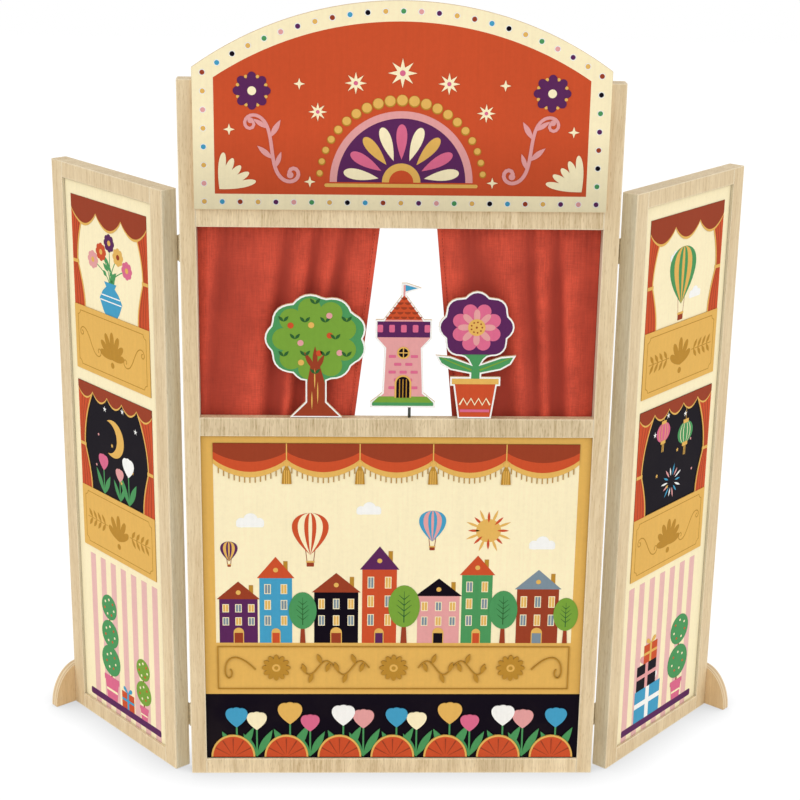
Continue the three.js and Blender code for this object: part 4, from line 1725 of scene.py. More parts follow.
    def parapet(self) -> None:
        """Lays the ochre balcony front."""
        sheet, low, high = self.sheet, self.bed_height + 6, self.sill - 4
        frame_line = bar(0, low, high, self.inner - 1)
        sheet.lay_pierced(Ink.GILT, frame_line, inset(frame_line, 0.9))
        middle = (low + high) / 2
        for centre in ((-124, middle), (0, middle), (124, middle)):
            sheet.lay(Ink.GILT, *[drop(centre, i * 30, 15, 5.4) for i in range(12)])
            sheet.over()
            sheet.lay(Ink.OCHRE, disc(centre, 4.4, 18))
            sheet.over()
            sheet.lay(Ink.GILT, disc(centre, 2.2, 14))
        vine = [(26 + 72 * i / 40, middle + 8 * math.sin(2 * math.pi * i / 20)) for i in range(41)]
        sheet.both(Ink.GILT, brush(vine, 1.1))
        for i, place in enumerate((3, 8, 13, 18, 23, 28, 33, 37)):
            sheet.both(Ink.GILT, blade(vine[place], 70 if i % 2 else -70, 12, 4.6))
        curl = fitted(winding((1300, 420, 90, 20), 180), 146, middle - 12, 178, middle + 12)
        sheet.both(Ink.GILT, brush(curl, 1.1))

    def flower_bed(self) -> None:
        """Lays the footlight shells and the tulips behind them on the dark band."""
        sheet, pitch = self.sheet, 2 * self.half / self.shells
        cups = (Ink.PINK, Ink.SKY, Ink.CREAM, Ink.OCHRE, Ink.ROSE, Ink.WHITE)
        for i in range(1, self.shells * 2):
            shift, tall = (4, 62) if i % 2 else (-3, 54)
            foot = (-self.half + pitch * i / 2 + shift, 2)
            sheet.tulip(foot, tall - 6 * ((i * 5) % 3) / 2, cups[i % len(cups)])
        sheet.over()
        for i in range(self.shells):
            middle = (-self.half + pitch * (i + 0.5), 1.5)
            for ink, radius in ((Ink.OCHRE, 23.5), (Ink.ORANGE, 21.5)):
                sheet.lay(ink, arc(middle, radius, 0, 180, 28, 1.12))
                sheet.over()
            rib = [(0.18, 0.15), (1, 0.75)]
            sheet.lay(Ink.BRICK, *[along(middle, heading, 22, rib) for heading in range(30, 180, 30)])


@dataclass
class Wing:
    """One folding wing: its frame, its printed panel and its foot."""

    side: Side
    margin: float = 11.5  # cream round the scenes, at the sides
    scene_tops: tuple[float, float, float] = (585, 382, 183)
    parapet_tops: tuple[float, float] = (467, 262)
    parapet_height: float = 71
    stripe: float = 10
    ground: float = 14  # the height of the plum floor under the lowest scene
    tuck: float = 2.0  # by which the print runs on under the frame
    foot_ply: float = 2.4
    foot_screw_heights: tuple[float, ...] = (11, 28)
    foot_screw_radius: float = 3.0

    def __post_init__(self) -> None:
        """Reads the panel's face from its node."""
        self.body = f"{self.side.word}_wing"
        corners = [v.co for v in frame["nodes"][f"{self.body}_panel"].data.vertices]
        low = min(p.z for p in corners)
        feet = {(round(p.x, 5), round(p.y, 5)) for p in corners if p.z < low + MM}
        ordered = sorted(feet, key=lambda p: abs(p[0]))
        near, far = (min(pair, key=lambda p: p[1]) for pair in (ordered[:2], ordered[-2:]))
        run = Vector((far[0] - near[0], far[1] - near[1], 0))
        self.across = run.normalized()
        self.out = Vector((self.across.y, -self.across.x, 0))
        if self.out.y > 0:
            self.out.negate()
        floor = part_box(f"{self.body}_bottom_rail")[1].z
        seat = floor - low
        self.width = (run.length - 2 * seat) / MM
        self.height = (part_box(f"{self.body}_top_rail")[0].z - floor) / MM
        self.left, self.right = self.margin, self.width - self.margin
        self.middle = (self.left + self.right) / 2
        face = Face(Vector((*near, floor)) + self.across * seat, self.across, UP, self.out)
        self.sheet = Print(f"{self.body}_panel", face, self.body, "wing_print")

    def build(self) -> None:
        """Dresses the wing's nodes and lays its print."""
        shift = 0 if self.side is Side.LEFT else 2
        for number, part in enumerate(("inner_stile", "outer_stile", "bottom_rail", "top_rail")):
            dress_nodes(FRAME_WOODS[(number + shift) % len(FRAME_WOODS)], f"{self.body}_{part}")
        dress_nodes(PANEL_BACK, f"{self.body}_panel")
        self.dress_foot()
        sheet = self.sheet
        sheet.lay(Ink.CREAM, block(-self.tuck, -self.tuck, self.width + self.tuck, self.height + self.tuck))
        sheet.over()
        for scene in (self.day_scene, self.night_scene, self.striped_scene):
            with sheet.motif():
                scene()
        sheet.clear()
        for top, side in zip(self.parapet_tops, Side):
            sheet.parapet(self.left, top - self.parapet_height, self.right, top, side is self.side)
        sheet.build()

    def dress_foot(self) -> None:
        """Dresses the plywood foot, whose layers lie across the wing, and drives its two screws."""
        foot = f"{self.body}_foot"
        points = [v.co for v in frame["nodes"][foot].data.vertices]
        depths, sides = ([p.dot(way) for p in points] for way in (self.across, self.out))
        start = min(depths) / MM
        dress_nodes(PlyFinish(f"{foot}_ply", FOOT_FACE, tuple(self.across), start, self.foot_ply), foot)
        middle = (min(sides) + max(sides)) / 2
        for number, height in enumerate(self.foot_screw_heights, start=1):
            place = self.across * max(depths) + self.out * middle + Vector((0, 0, height * MM))
            Screw(f"{foot}_screw_{number}", self.body, self.foot_screw_radius).build(place, self.across)

    def drapes(self, low: float, high: float) -> None:
        """Lays a pair of tied-back curtains at the sides of a scene.

        Args:
            low: The height of their hems.
            high: The height of their tops.
        """
        sheet, left, right, middle = self.sheet, self.left, self.right, self.middle
        waist, tie, edge = 9, low + (high - low) * 0.4, []
        for share in (i / 8 for i in range(8, -1, -1)):
            edge.append((left + waist + 11 * math.sin(share * math.pi / 2), low + (tie - low) * (1 - share)))
        for share in (i / 12 for i in range(1, 13)):
            edge.append((left + waist + 24 * share**2, tie + (high - tie) * share))
        half = [(left, low), *edge, (left, high)]
        sheet.lay(Ink.ORANGE, half, mirrored(half, middle))
        sheet.over()
        for share in (0.3, 0.55, 0.8):
            fold = [(left + (u - left) * share, v) for u, v in edge]
            sheet.lay(Ink.BRICK, *[brush(path, 0.8) for path in (fold, mirrored(fold, middle))])
        sheet.lay(Ink.OCHRE, *[brush(path, 1.8) for path in (edge, mirrored(edge, middle))])
        sheet.over()
        for u in (left, right - waist - 2):
            sheet.lay(Ink.OCHRE, block(u, tie - 1.8, u + waist + 2, tie + 1.8))
        sheet.over()

    def day_scene(self) -> None:
        """Lays the upper scene, on cream: a vase of flowers, or a balloon among clouds."""
        sheet, middle, high, low = self.sheet, self.middle, self.scene_tops[0], self.parapet_tops[0]
        if self.side is Side.LEFT:
            sheet.vase((middle, low), 88, (Ink.ROSE, Ink.OCHRE, Ink.PURPLE, Ink.ORANGE, Ink.PINK))
        else:
            sheet.cloud((middle + 22, low + 26), 26)
            sheet.cloud((middle - 20, low + 72), 22)
            sheet.balloon((middle - 4, low + 56), 25, Ink.GREEN, Ink.OCHRE)
        sheet.clear()
        self.drapes(low, high)
        sheet.valance(self.left, self.right, high, 3, ((Ink.OCHRE, 15, 15), (Ink.BRICK, 13.4, 14)))

    def night_scene(self) -> None:
        """Lays the middle scene, on a dark sky: tulips under the moon, or lanterns."""
        sheet, middle, high, low = self.sheet, self.middle, self.scene_tops[1], self.parapet_tops[1]
        sheet.lay(Ink.NIGHT, block(self.left, low, self.right, high))
        sheet.over()
        twinkles = ((-38, 88), (-30, 40), (34, 66), (20, 98), (-8, 22), (40, 30), (-14, 104), (8, 60))
        inks = (Ink.WHITE, Ink.OCHRE, Ink.PINK)
        for i, (u, v) in enumerate(twinkles):
            sheet.lay(inks[i % 3], star((middle + u, low + v), 3.6 - i % 3, 1.2, 5))
        if self.side is Side.LEFT:
            sheet.moon((middle + 6, low + 68), 21)
            for u, height, ink in ((-22, 52, Ink.WHITE), (-5, 36, Ink.PINK), (26, 44, Ink.ROSE)):
                sheet.tulip((middle + u, low), height, ink)
        else:
            sheet.lantern((middle - 22, high), 26, Ink.ROSE, Ink.OCHRE)
            sheet.lantern((middle + 22, high - 6), 30, Ink.GREEN, Ink.CREAM)
            sheet.burst((middle, low + 26), 20, (Ink.SKY, Ink.WHITE, Ink.PINK), 14)
        sheet.clear()
        self.drapes(low, high)
        sheet.valance(self.left, self.right, high, 5, ((Ink.OCHRE, 9, 9), (Ink.BRICK, 7.6, 8.4)))

    def striped_scene(self) -> None:
        """Lays the lowest scene, on pink stripes: clipped trees and presents."""
        sheet, middle, ground, left = self.sheet, self.middle, self.ground, self.left
        count = round((self.right - left) / self.stripe)
        pitch = (self.right - left) / count
        for i in range(0, count, 2):
            sheet.lay(Ink.BLUSH, block(left + i * pitch, 0, left + (i + 1) * pitch, self.scene_tops[2]))
        sheet.over()
        sheet.lay(Ink.PURPLE, block(left, 6, self.right, ground, 2))
        sheet.over()
        if self.side is Side.LEFT:
            sheet.topiary((middle + 26, ground), 128, Ink.GREEN, 3)
            sheet.topiary((middle - 38, ground), 74, Ink.LEAF, 2)
            sheet.gift((middle - 6, ground), 24, 20, Ink.ORANGE, Ink.SKY)
        else:
            sheet.gift((middle - 22, ground), 50, 38, Ink.SKY, Ink.WHITE)
            sheet.over()
            sheet.gift((middle - 26, ground + 38), 38, 30, Ink.NIGHT, Ink.PINK)
            sheet.over()
            sheet.gift((middle - 20, ground + 68), 26, 22, Ink.ORANGE, Ink.OCHRE)
            sheet.topiary((middle + 38, ground), 104, Ink.GREEN, 2)


@dataclass
class Hinge:
    """One butt hinge: its leaves and pin, and the screws through its leaves."""

    wing: Wing
    where: str
    screw_from_pin: float = 7.55
    face_from_pin: float = 0.4
    screw_spacing: float = 15

    def build(self) -> None:
        """Dresses the hinge's nodes and drives its screws."""
        prefix = f"{self.wing.side.word}_{self.where}_hinge"
        dress_nodes(HINGE_METAL, *[f"{prefix}_{part}" for part in ("frame_leaf", "pin", "wing_leaf")])
        pin = Vector(middle_of(f"{prefix}_pin"))
        leaves = (
            ("frame_leaf", "stage_frame", -self.wing.side.value * ACROSS, BACK),
            ("wing_leaf", self.wing.body, self.wing.across, -self.wing.out),
        )
        for part, body, across, back in leaves:
            for number, way in enumerate((-1, 1), start=1):
                rise = Vector((0, 0, way * self.screw_spacing / 2))
                place = pin + MM * (self.screw_from_pin * across - self.face_from_pin * back + rise)
                Screw(f"{prefix}_{part}_screw_{number}", body).build(place, back)


# Curtains


Grid = list[list[tuple[Vector, float]]]  # rows of places in millimetres, each with a thickness


def sheet_mesh(grid: Grid) -> Mesh:
    """Gives a grid its thickness.

    Args:
        grid: The rows.

    Returns:
        The closed mesh.
    """
    mesh = bmesh.new()
    rows, columns = len(grid), len(grid[0])
    front, back = [], []
    for r in range(rows):
        for layer in (front, back):
            layer.append([])
        for c in range(columns):
            along_row = grid[r][min(c + 1, columns - 1)][0] - grid[r][max(c - 1, 0)][0]
            along_column = grid[min(r + 1, rows - 1)][c][0] - grid[max(r - 1, 0)][c][0]
            normal = along_row.cross(along_column).normalized()
            place, thick = grid[r][c]
            for layer, way in ((front, -1), (back, 1)):
                layer[r].append(mesh.verts.new((place + normal * way * thick / 2) * MM))
    for r in range(rows - 1):
        for c in range(columns - 1):
            for layer in (front, back):
                mesh.faces.new((layer[r][c], layer[r][c + 1], layer[r + 1][c + 1], layer[r + 1][c]))
    rim = [(0, c) for c in range(columns)] + [(r, columns - 1) for r in range(1, rows)]
    rim += [(rows - 1, c) for c in range(columns - 2, -1, -1)] + [(r, 0) for r in range(rows - 2, 0, -1)]
    for (r0, c0), (r1, c1) in zip(rim, rim[1:] + rim[:1]):
        mesh.faces.new((front[r0][c0], front[r1][c1], back[r1][c1], back[r0][c0]))
    return mesh


@dataclass
class Curtain:
    """One curtain: a gathered cloth on the rod, a hem along its leading edge, and their stitches."""

    side: Side
    folds: float
    phase: float
    hem_width: float = 6
    hem_thickness: float = 1.7
    overlap: float = 1.5  # by which the cloth stops short of the hem's edge
    cloth_thickness: float = 0.7
    bottom_hem: float = 11
    fold_depth: float = 4.7
    lean: float = 0.3  # how far the folds run outwards on their way down, in folds
    ruffle_depth: float = 0.7
    ruffle_pitch: float = 7.5
    side_reach: float = 1.8  # past the plain sheet, up to the stile
    edge_hold: float = 12  # the width by the stile in which the folds grow to their depth
    pocket_radius: float = 3.25
    pocket_drop: float = 5.5  # from the rod's centre down to the pocket's stitches
    stitch_length: float = 2.4
    stitch_pitch: float = 3.6
    thread: float = 0.22
    columns: int = 150
    rows: int = 64
    hem_columns: int = 6
    hem_rows: int = 60
    loop_steps: int = 16
    flat_width: float = 200
    flat_height: float = 252

    def __post_init__(self) -> None:
        """Reads the rod, the cloth's corners and the slant of its leading edge from the frame."""
        self.name, self.sign = f"{self.side.word}_curtain", self.side.value
        self.rod_y, self.rod_z = (place / MM for place in middle_of("curtain_rod")[1:])
        cloth_low, cloth_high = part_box(self.name)
        self.outer = max(abs(cloth_low.x), abs(cloth_high.x)) / MM + self.side_reach
        self.bottom, self.top = cloth_low.z / MM, self.rod_z - self.pocket_drop
        self.tall = self.top - self.bottom
        edges = sorted(abs(corner.x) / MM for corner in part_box(self.name + "_hem"))
        self.lead_top, self.lead_bottom = edges[0], edges[1] - self.hem_width

    def lead(self, z: float) -> float:
        """How far the leading edge is from the middle of the stage at a height."""
        return self.lead_top + (self.top - z) / self.tall * (self.lead_bottom - self.lead_top)

    def depth(self, across: float, z: float) -> float:
        """How far back the cloth lies.

        Args:
            across: The share of the way from the stile to the leading edge.
            z: The height.

        Returns:
            The Y of the cloth's middle.
        """
        turn, down, width = 2 * math.pi, (self.top - z) / self.tall, across * self.outer
        drift = 0.3 * math.sin(turn * (1.35 * across + self.phase)) + 0.12 * down * math.sin(7 * across + 2)
        folds = self.folds * across + drift + self.lean * down
        wave = math.cos(turn * folds) + 0.26 * math.cos(2 * turn * folds + 1.1 + 1.6 * down)
        wave += 0.34 * math.cos(turn * (0.57 * folds + self.phase) - 1.3 * down)
        uneven = 0.78 + 0.22 * math.sin(turn * (0.9 * across + 0.5 * down + self.phase * 3))
        fall = min(1.0, 0.42 + 2.1 * down) * (1 - 0.1 * down)
        flat = min(1.0, 0.12 + width / self.edge_hold)
        fold = self.fold_depth * fall * uneven * flat * wave / 1.4
        ruffle = self.ruffle_depth * math.sin(turn * width / self.ruffle_pitch) * math.exp(-down * 11)
        return self.rod_y + min(1.4, 4 * down) + fold + ruffle

    def hanging(self, rows: int) -> list[float]:
        """The heights of evenly spaced rows from the bottom to the pocket."""
        return [self.bottom + self.tall * row / rows for row in range(rows + 1)]

    def place(self, x: float, across: float, z: float, lift: float = 0) -> Vector:
        """A place on the cloth, or lifted off it, from how far it is from the middle of the stage."""
        return Vector((self.sign * x, self.depth(across, z) + lift, z))

    def round_rod(self, x: float, step: int, radius: float, ruffle: float = 0) -> Vector:
        """A place on a loop round the rod.

        Args:
            x: Its place along the rod.
            step: How many steps round it is from the bottom.
            radius: The loop's radius.
            ruffle: By how much its top stands further out.

        Returns:
            The place.
        """
        turn = -math.pi / 2 - 2 * math.pi * step / self.loop_steps
        radius += ruffle * (0.5 + 0.5 * math.sin(turn))
        return Vector((x, self.rod_y + radius * math.cos(turn), self.rod_z + radius * math.sin(turn)))

    def cloth_grid(self) -> Grid:
        """The cloth's middle surface.

        Returns:
            Its rows, from the bottom to the end of the pocket.
        """
        grid = []
        shares = [column / self.columns for column in range(self.columns + 1)]
        for z in self.hanging(self.rows):
            thick = self.cloth_thickness * (1.7 if z < self.bottom + self.bottom_hem else 1)
            run = self.lead(z) + self.hem_width - self.overlap - self.outer
            grid.append([(self.place(self.outer + s * run, s, z), thick) for s in shares])
        start = grid[-1]
        ruffles = [0.22 * (1 + math.sin(4 * math.pi * s * self.outer / self.ruffle_pitch)) for s in shares]
        for step in range(self.loop_steps + 1):
            places = [self.round_rod(p.x, step, self.pocket_radius, r) for (p, _), r in zip(start, ruffles)]
            grid.append([(place, thick) for place, (_, thick) in zip(places, start)])
        depths = [self.depth(share, self.top) + 0.9 for share in shares]
        grid.append([(Vector((p.x, y, self.top - 1.5)), thick) for y, (p, thick) in zip(depths, start)])
        return grid

    def hem_grid(self) -> Grid:
        """The middle surface of the leading hem, a double band with a round edge and a loop on the rod.

        Returns:
            Its rows, from the bottom to the end of the loop.
        """
        grid = []
        shares = [step / self.hem_columns for step in range(self.hem_columns + 1)]
        thicks = [self.hem_thickness * (0.55 + 0.45 * min(1.0, share * 4)) for share in shares]
        for z in self.hanging(self.hem_rows):
            places = [self.place(self.lead(z) + share * self.hem_width, 1, z) for share in shares]
            grid.append(list(zip(places, thicks)))
        start = grid[-1]
        for step in range(self.loop_steps + 1):
            grid.append([(self.round_rod(p.x, step, self.pocket_radius + 0.25), 0.9) for p, _ in start])
        return grid

    def stitches(self, mesh: Mesh, run: float, lift: float, at: Callable[[float], Sequence[float]]) -> Mesh:
        """Adds a line of stitches on both sides, short threads that dip in at both ends.

        Args:
            mesh: The mesh that gets them.
            run: The line's length.
            lift: How far off the cloth's middle they lie.
            at: Gives what place takes for a distance along the line.

        Returns:
            The mesh.
        """
        for start in (i * self.stitch_pitch for i in range(int(run / self.stitch_pitch))):
            for way in (-1, 1):
                ends = (start, start + self.stitch_length)
                first, last = (self.place(*at(distance), way * lift) for distance in ends)
                long = (last - first).length
                profile = [(0, 0.05), (long * 0.2, self.thread), (long * 0.8, self.thread), (long, 0.05)]
                turned(mesh, (first + way * BACK * 0.08) * MM, last - first, profile, 6)
        return mesh

    def cloth_stitches(self) -> Mesh:
        """Makes the stitches of the bottom hem and the pocket.

        Returns:
            Their mesh.
        """
        mesh = bmesh.new()
        for z in (self.bottom + self.bottom_hem - 1.2, self.top - 0.6):
            run = self.outer - self.lead(z) - self.hem_width
            whole = run + self.overlap
            self.stitches(mesh, run, self.cloth_thickness * 0.85, lambda u: (self.outer - u, u / whole, z))
        return mesh

    def hem_stitches(self) -> Mesh:
        """Makes the stitches of the leading hem.

        Returns:
            Their mesh.
        """

        def seam(rise: float) -> tuple[float, float, float]:
            """The place of a stitch's end at a height over the bottom."""
            z = self.bottom + rise
            return self.lead(z) + self.hem_width - 1.6, 1, z

        return self.stitches(bmesh.new(), self.tall, self.hem_thickness / 2, seam)

    def build(self) -> None:
        cloth, hem, cloth_stitches, hem_stitches = (
            finished(f"{self.name}_{name}", mesh, finish.material(), smooth=True)
            for name, mesh, finish in (
                ("cloth", sheet_mesh(self.cloth_grid()), CURTAIN_CLOTH),
                ("hem_band", sheet_mesh(self.hem_grid()), CURTAIN_CLOTH),
                ("stitches", self.cloth_stitches(), CURTAIN_THREAD),
                ("hem_stitches", self.hem_stitches(), CURTAIN_THREAD),
            )
        )
        for piece in (cloth, cloth_stitches):
            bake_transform(piece)
        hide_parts(self.name)
        declare(hem, f"{self.name}_lead", self.name + "_hem")
        declare(hem_stitches, f"{self.name}_lead")
        area = sum(face.area for face in cloth.data.polygons) / 2
        log.info("%s: %.4f square metres of cloth", self.name, area)


# Figures


@dataclass
class Figure:
    """A flat cut-out figure on a wire, with its print."""

    name: str = ""
    margin: float = 1.7
    wire_radius: float = 1.5

    def __post_init__(self) -> None:
        """Reads the card's face and outline from its node."""
        low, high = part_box(f"{self.name}_card")
        self.width, self.height = (high.x - low.x) / MM, (high.z - low.z) / MM
        self.face = facing_audience((low.x + high.x) / 2, low.y, low.z)
        self.sheet = Print(f"{self.name}_card", self.face, f"{self.name}_figure", f"{self.name}_print")
        self.outline = self.read_outline()
        self.edge = inset(self.outline, self.margin)

    def read_outline(self) -> Outline:
        """Walks round the card's front.

        Returns:
            Its outline on the face, anticlockwise.
        """
        mesh = bmesh.new()
        mesh.from_mesh(frame["nodes"][f"{self.name}_card"].data)
        bmesh.ops.remove_doubles(mesh, verts=mesh.verts, dist=1e-6)
        mesh.normal_update()
        front = {face for face in mesh.faces if face.normal.y < -0.9}
        links: dict[int, list[int]] = {}
        for edge in mesh.edges:
            if sum(face in front for face in edge.link_faces) == 1:
                a, b = (vert.index for vert in edge.verts)
                links.setdefault(a, []).append(b)
                links.setdefault(b, []).append(a)
        mesh.verts.ensure_lookup_table()
        walk = [min(links)]
        while len(walk) < len(links):
            walk.append(next(i for i in links[walk[-1]] if i not in walk[-2:]))
        origin, places = self.face.origin, [mesh.verts[i].co for i in walk]
        points = [((place.x - origin.x) / MM, (place.z - origin.z) / MM) for place in places]
        mesh.free()
        turn = sum(a[0] * b[1] - b[0] * a[1] for a, b in zip(points, points[1:] + points[:1]))
        return points if turn > 0 else points[::-1]

    def build(self) -> None:
        """Dresses the card, lays its print and makes its wire."""
        dress_ply(f"{self.name}_card", f"{self.name}_ply")
        self.sheet.lay(Ink.WHITE, inset(self.outline, 0.12))
        self.sheet.over()
        self.draw()
        self.sheet.build()
        names = (f"{self.name}_wire", f"{self.name}_rod", f"{self.name}_figure")
        Rod(*names, FIGURE_WIRE, "figure_wire", self.wire_radius, 0.9, 0.8, 20).build()

    def draw(self) -> None:
        """Prints the picture on the card."""
        raise NotImplementedError


@dataclass
class TreeFigure(Figure):
    """A leafy crown with fruit on a trunk."""

    name: str = "tree"

    def draw(self) -> None:
        """Prints the crown, the trunk with its branches, the leaves and the fruit."""
        sheet, high, wide = self.sheet, self.height, self.width
        middle = (0, high * 0.64)
        sheet.lay(Ink.GREEN, self.edge)
        sheet.over()
        for heading in range(20, WHOLE_TURN, 40):
            sheet.lay(Ink.LEAF, disc(spot(middle, wide * 0.31, heading), wide * 0.115, 20))
        sheet.over()
        sheet.lay(Ink.LEAF, disc(middle, wide * 0.252, 36))
        sheet.over()
        root = lower_part(self.edge, high * 0.2)
        left, right, low, top, half = root[0][0], root[-1][0], high * 0.28, high * 0.43, wide * 0.045
        sheet.lay(Ink.BRICK, root + [(right, low), (half, top), (-half, top), (left, low)])
        for heading, length in ((62, 20), (118, 23), (90, 26)):
            sheet.lay(Ink.BRICK, blade((0, high * 0.38), heading, length, 5))
        sheet.over()
        for i, heading in enumerate(range(0, WHOLE_TURN, 30)):
            place = spot(middle, wide * (0.36 if i % 2 else 0.2), heading)
            sheet.lay(Ink.FOREST, *[blade(place, turn, 7.5, 3) for turn in (48, 132)])
        for i, heading in enumerate(range(15, WHOLE_TURN, 45)):
            place = spot(middle, wide * (0.15 + 0.13 * (i % 2)), heading)
            sheet.lay((Ink.ORANGE, Ink.PINK, Ink.OCHRE)[i % 3], disc(place, 3.1, 16))
        for u, low, tall in ((-3.2, 8, 20), (2.6, 14, 24), (-0.4, 30, 22)):
            sheet.lay(Ink.OCHRE, blade((u, low), 90, tall, 1.3))


@dataclass
class TowerFigure(Figure):
    """A castle tower with a tiled roof and a pennant."""

    name: str = "tower"

    def draw(self) -> None:
        """Prints the walls with their stones, the battlement, the roof, the pennant, window and door."""
        sheet, high, wide, rim = self.sheet, self.height, self.width, self.margin
        roof_low, roof_half = high * 0.71, wide * 0.31 - rim
        sheet.lay(Ink.PINK, self.edge)
        sheet.over()
        sheet.lay(Ink.GREEN, bar(0, rim, high * 0.045 - 0.6, wide * 0.5 - rim, 1))
        sheet.lay(Ink.LEAF, along((0, high * 0.04), 90, high * 0.05, [(0, wide * 0.47), (1, wide * 0.37)]))
        sheet.lay(Ink.PURPLE, bar(0, high * 0.57, high * 0.71 - rim, wide * 0.43 - rim))
        roof = [(-roof_half, roof_low), (roof_half, roof_low), (0.6, high * 0.9), (-0.6, high * 0.9)]
        sheet.lay(Ink.ORANGE, roof)
        sheet.lay(Ink.SKY, [(1.2, high * 0.937), (wide * 0.2, high * 0.962), (1.2, high * 0.987)])
        sheet.over()
        for row in range(5):
            half = roof_half * (1 - row / 5)
            low, step = roof_low + row / 5 * (high * 0.19), 2 * half / (5 - row)
            for i in range(5 - row):
                middle = (-half + step * (i + 0.5), low + 3.2)
                sheet.lay(Ink.BRICK, arc(middle, step * 0.42, 180, 360, 10, 0.8))
        for i in range(5):
            sheet.lay(Ink.ROSE, bar(-wide * 0.36 + wide * 0.18 * i, high * 0.61, high * 0.67, 2.8, 1.2))
        for row in range(5):
            v = high * 0.15 + row * 8.2
            for u in (-5.5, 5.5) if row % 2 else (-11, 0, 11):
                sheet.lay(Ink.ROSE, bar(u, v, v + 3, 3.6, 0.8))
        sheet.over()
        sill, head, eye = high * 0.08, high * 0.2, (0, high * 0.445)
        for ink, half, radius, steps in ((Ink.OCHRE, 8.4, 6.4, 22), (Ink.NIGHT, 6.6, 4.8, 20)):
            sheet.lay(ink, bar(0, sill, head, half), arc((0, head), half, 0, 180, 16))
            sheet.lay(ink, disc(eye, radius, steps))
            sheet.over()
        sheet.lay(Ink.GILT, *[bar(u, sill, head + 4, 0.5) for u in (-3.4, 0, 3.4)])
        sheet.lay(Ink.OCHRE, bar(0, high * 0.405, high * 0.485, 0.5), bar(0, high * 0.441, high * 0.449, 4.8))


@dataclass
class FlowerFigure(Figure):
    """A round bloom with two leaves in a banded pot."""

    name: str = "flower"

    def draw(self) -> None:
        """Prints the pot, the leaves, the petals and the pot's zigzag."""
        sheet, high, wide, edge = self.sheet, self.height, self.width, self.edge
        shoulder, middle, radius = high * 0.26, (0, high * 0.72), wide * 0.4
        sheet.lay(Ink.GREEN, edge)
        sheet.over()
        pot = lower_part(edge, shoulder + 2 * self.margin)
        sheet.lay(Ink.ORANGE, pot[1:-1])
        sheet.lay(Ink.OCHRE, block(pot[0][0], pot[0][1] + 0.1, pot[-1][0], high * 0.33 - self.margin))
        sheet.lay(Ink.PURPLE, [point for point in edge if point[1] > high * 0.5])
        for way in (-1, 1):
            places = ((4, 0.385), (wide * 0.25, 0.435), (wide * 0.44, 0.485))
            vein = [(way * u, high * share) for u, share in places]
            sheet.lay(Ink.LEAF, brush(vein, 1.8, 0.8) if way > 0 else brush(vein[::-1], 0.8, 1.8))
        sheet.over()
        rings = ((Ink.ROSE, 22.5, 0.78, 0.46, 12), (Ink.PINK, 0, 0.58, 0.2, 10))
        for ink, turn, length, width, steps in rings:
            headings = [turn + 45 * i for i in range(8)]
            sheet.lay(ink, *[drop(middle, a, radius * length, radius * width, steps) for a in headings])
            sheet.over()
        sheet.lay(Ink.OCHRE, disc(middle, radius * 0.27, 24))
        sheet.over()
        sheet.lay(Ink.BRICK, *[disc(spot(middle, radius * 0.17, 40 * i), 0.9, 8) for i in range(9)])
        sheet.lay(Ink.BRICK, disc(middle, 1.1, 10))
        zigzag = [(wide * (-0.19 + 0.38 * i / 8), shoulder * (0.62 if i % 2 else 0.42)) for i in range(9)]
        sheet.lay(Ink.CREAM, brush(zigzag, 1.7))
        sheet.lay(Ink.ROSE, bar(0, shoulder * 0.2, shoulder * 0.28, wide * 0.185))


# Studio


@dataclass(frozen=True)
class Lamp:
    """A far and broad lamp, which lights the floor evenly."""

    name: str
    source: tuple[float, float, float]  # the direction that its light comes from
    spread: float  # the angle that it fills, in degrees
    strength: float  # in watts on each square metre

    def build(self) -> None:
        """Hangs the lamp."""
        data = bpy.data.lights.new(self.name, "SUN")
        data.angle, data.energy = math.radians(self.spread), self.strength
        lamp = bpy.data.objects.new(self.name, data)
        bpy.context.scene.collection.objects.link(lamp)
        lamp.rotation_mode = "QUATERNION"
        lamp.rotation_quaternion = Vector(self.source).to_track_quat("Z", "Y")


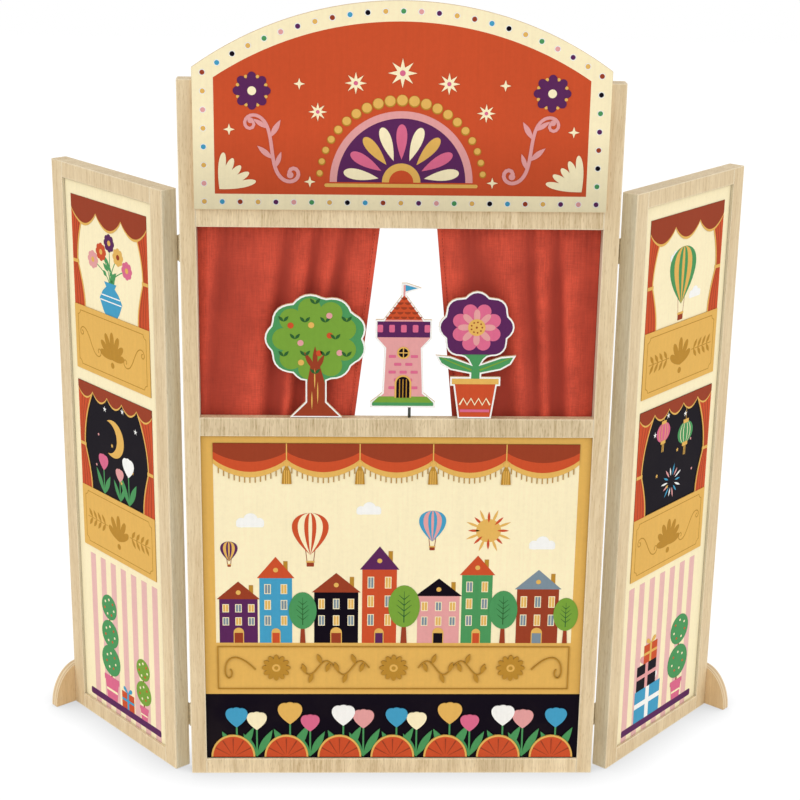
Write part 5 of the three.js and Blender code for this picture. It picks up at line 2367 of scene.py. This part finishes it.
@dataclass
class Studio:
    """The floor, the lamps and the camera, which stands where the photograph was taken from."""

    camera_place: tuple[float, float, float] = (-53.84, -1762.18, 1010.17)
    yaw: float = -0.032
    pitch: float = 0.3226
    roll: float = 0.0155
    focal_length: float = 82.77
    sensor: float = 36.0
    floor_size: float = 12.0
    floor_drop: float = 0.0002  # in metres, under what stands on it
    room: float = 0.54
    shade_reach: float = 0.055  # in metres, how far the painted shadow reaches on the floor round what stands on it
    floor_tones: tuple[float, float] = (0.5, 1.06)  # the floor's glow in the deepest painted shadow and in the open
    lamps: tuple[Lamp, ...] = (
        Lamp("key_lamp", (-1.74, -0.63, 1.07), 32, 0.93),
        Lamp("fill_lamp", (1.74, -0.63, 0.67), 45, 0.84),
        Lamp("front_lamp", (0.0, -2.2, 1.0), 40, 0.45),
        Lamp("back_lamp", (0.3, 2.2, 1.2), 40, 0.35),
    )

    def build(self) -> None:
        """Builds the studio."""
        bpy.context.scene.view_settings.view_transform = "Standard"
        self.place_camera()
        self.lay_floor()
        for lamp in self.lamps:
            lamp.build()
        self.light_room()

    def place_camera(self) -> None:
        """Sets the camera at the photograph's place and angle."""
        data = bpy.data.cameras.new("photograph_camera")
        data.lens, data.sensor_width = self.focal_length, self.sensor
        data.clip_start, data.clip_end = 0.05, 50
        camera = bpy.data.objects.new("photograph_camera", data)
        bpy.context.scene.collection.objects.link(camera)
        placed = Matrix.Translation(Vector(self.camera_place) * MM)
        for angle, axis in ((self.yaw, "Z"), (math.pi / 2 - self.pitch, "X"), (self.roll, "Z")):
            placed @= Matrix.Rotation(angle, 4, axis)
        camera.matrix_world = placed
        bpy.context.scene.camera = camera

    def lay_floor(self) -> None:
        """Lays a white floor that glows for the camera, with a contact shadow painted from ambient occlusion
        round what stands on it.
        """
        mesh, half = bmesh.new(), self.floor_size / 2
        mesh.faces.new([mesh.verts.new((x, y, -self.floor_drop)) for x, y in block(-half, -half, half, half)])
        material = bpy.data.materials.new("studio_floor")
        material.use_nodes = True
        wire = Wiring(material.node_tree)
        wire.tree.nodes.clear()
        matt = wire.add("BsdfDiffuse", {"Color": (0.9, 0.9, 0.9, 1)})
        openness = wire.add("AmbientOcclusion", {"Distance": self.shade_reach}, samples=24).outputs["AO"]
        # painted shadow: the glow that the camera sees dims where ambient occlusion is deeper
        tone = wire.spread(openness, 0, 1, *self.floor_tones)
        shown = wire.add("Emission", {"Color": (1, 1, 1, 1), "Strength": tone})
        wire.show_both(matt, shown, "Is Glossy Ray", "OutputMaterial")
        finished("studio_floor", mesh, material)

    def light_room(self) -> None:
        """Lights the room softly, and shows it white to the camera and through glass."""
        world = bpy.data.worlds.new("studio_room")
        bpy.context.scene.world = world
        world.use_nodes = True
        wire = Wiring(world.node_tree)
        wire.tree.nodes.clear()
        soft = wire.add("Background", {"Color": (1, 1, 1, 1), "Strength": self.room})
        white = wire.add("Background", {"Color": (1, 1, 1, 1), "Strength": 1.0})
        wire.show_both(soft, white, "Is Transmission Ray", "OutputWorld")


def main() -> None:
    """Builds the theatre's dress in order and reports each piece."""
    logging.basicConfig(level=logging.INFO, format="%(message)s", stream=sys.stdout)
    wire_effects()
    theatre = [Studio(), StageFrame(), Crown(), LowerPanel()]
    for wing in map(Wing, Side):
        theatre += [wing, Hinge(wing, "lower"), Hinge(wing, "upper")]
    theatre.append(Curtain(Side.LEFT, folds=4.3, phase=0.12))
    theatre.append(Curtain(Side.RIGHT, folds=3.8, phase=0.55, flat_width=184))
    theatre += [TreeFigure(), TowerFigure(), FlowerFigure()]
    for piece in theatre:
        before = len(bpy.data.objects)
        piece.build()
        log.info("%s: %d new objects", type(piece).__name__, len(bpy.data.objects) - before)


if __name__ == "__main__":
    main()
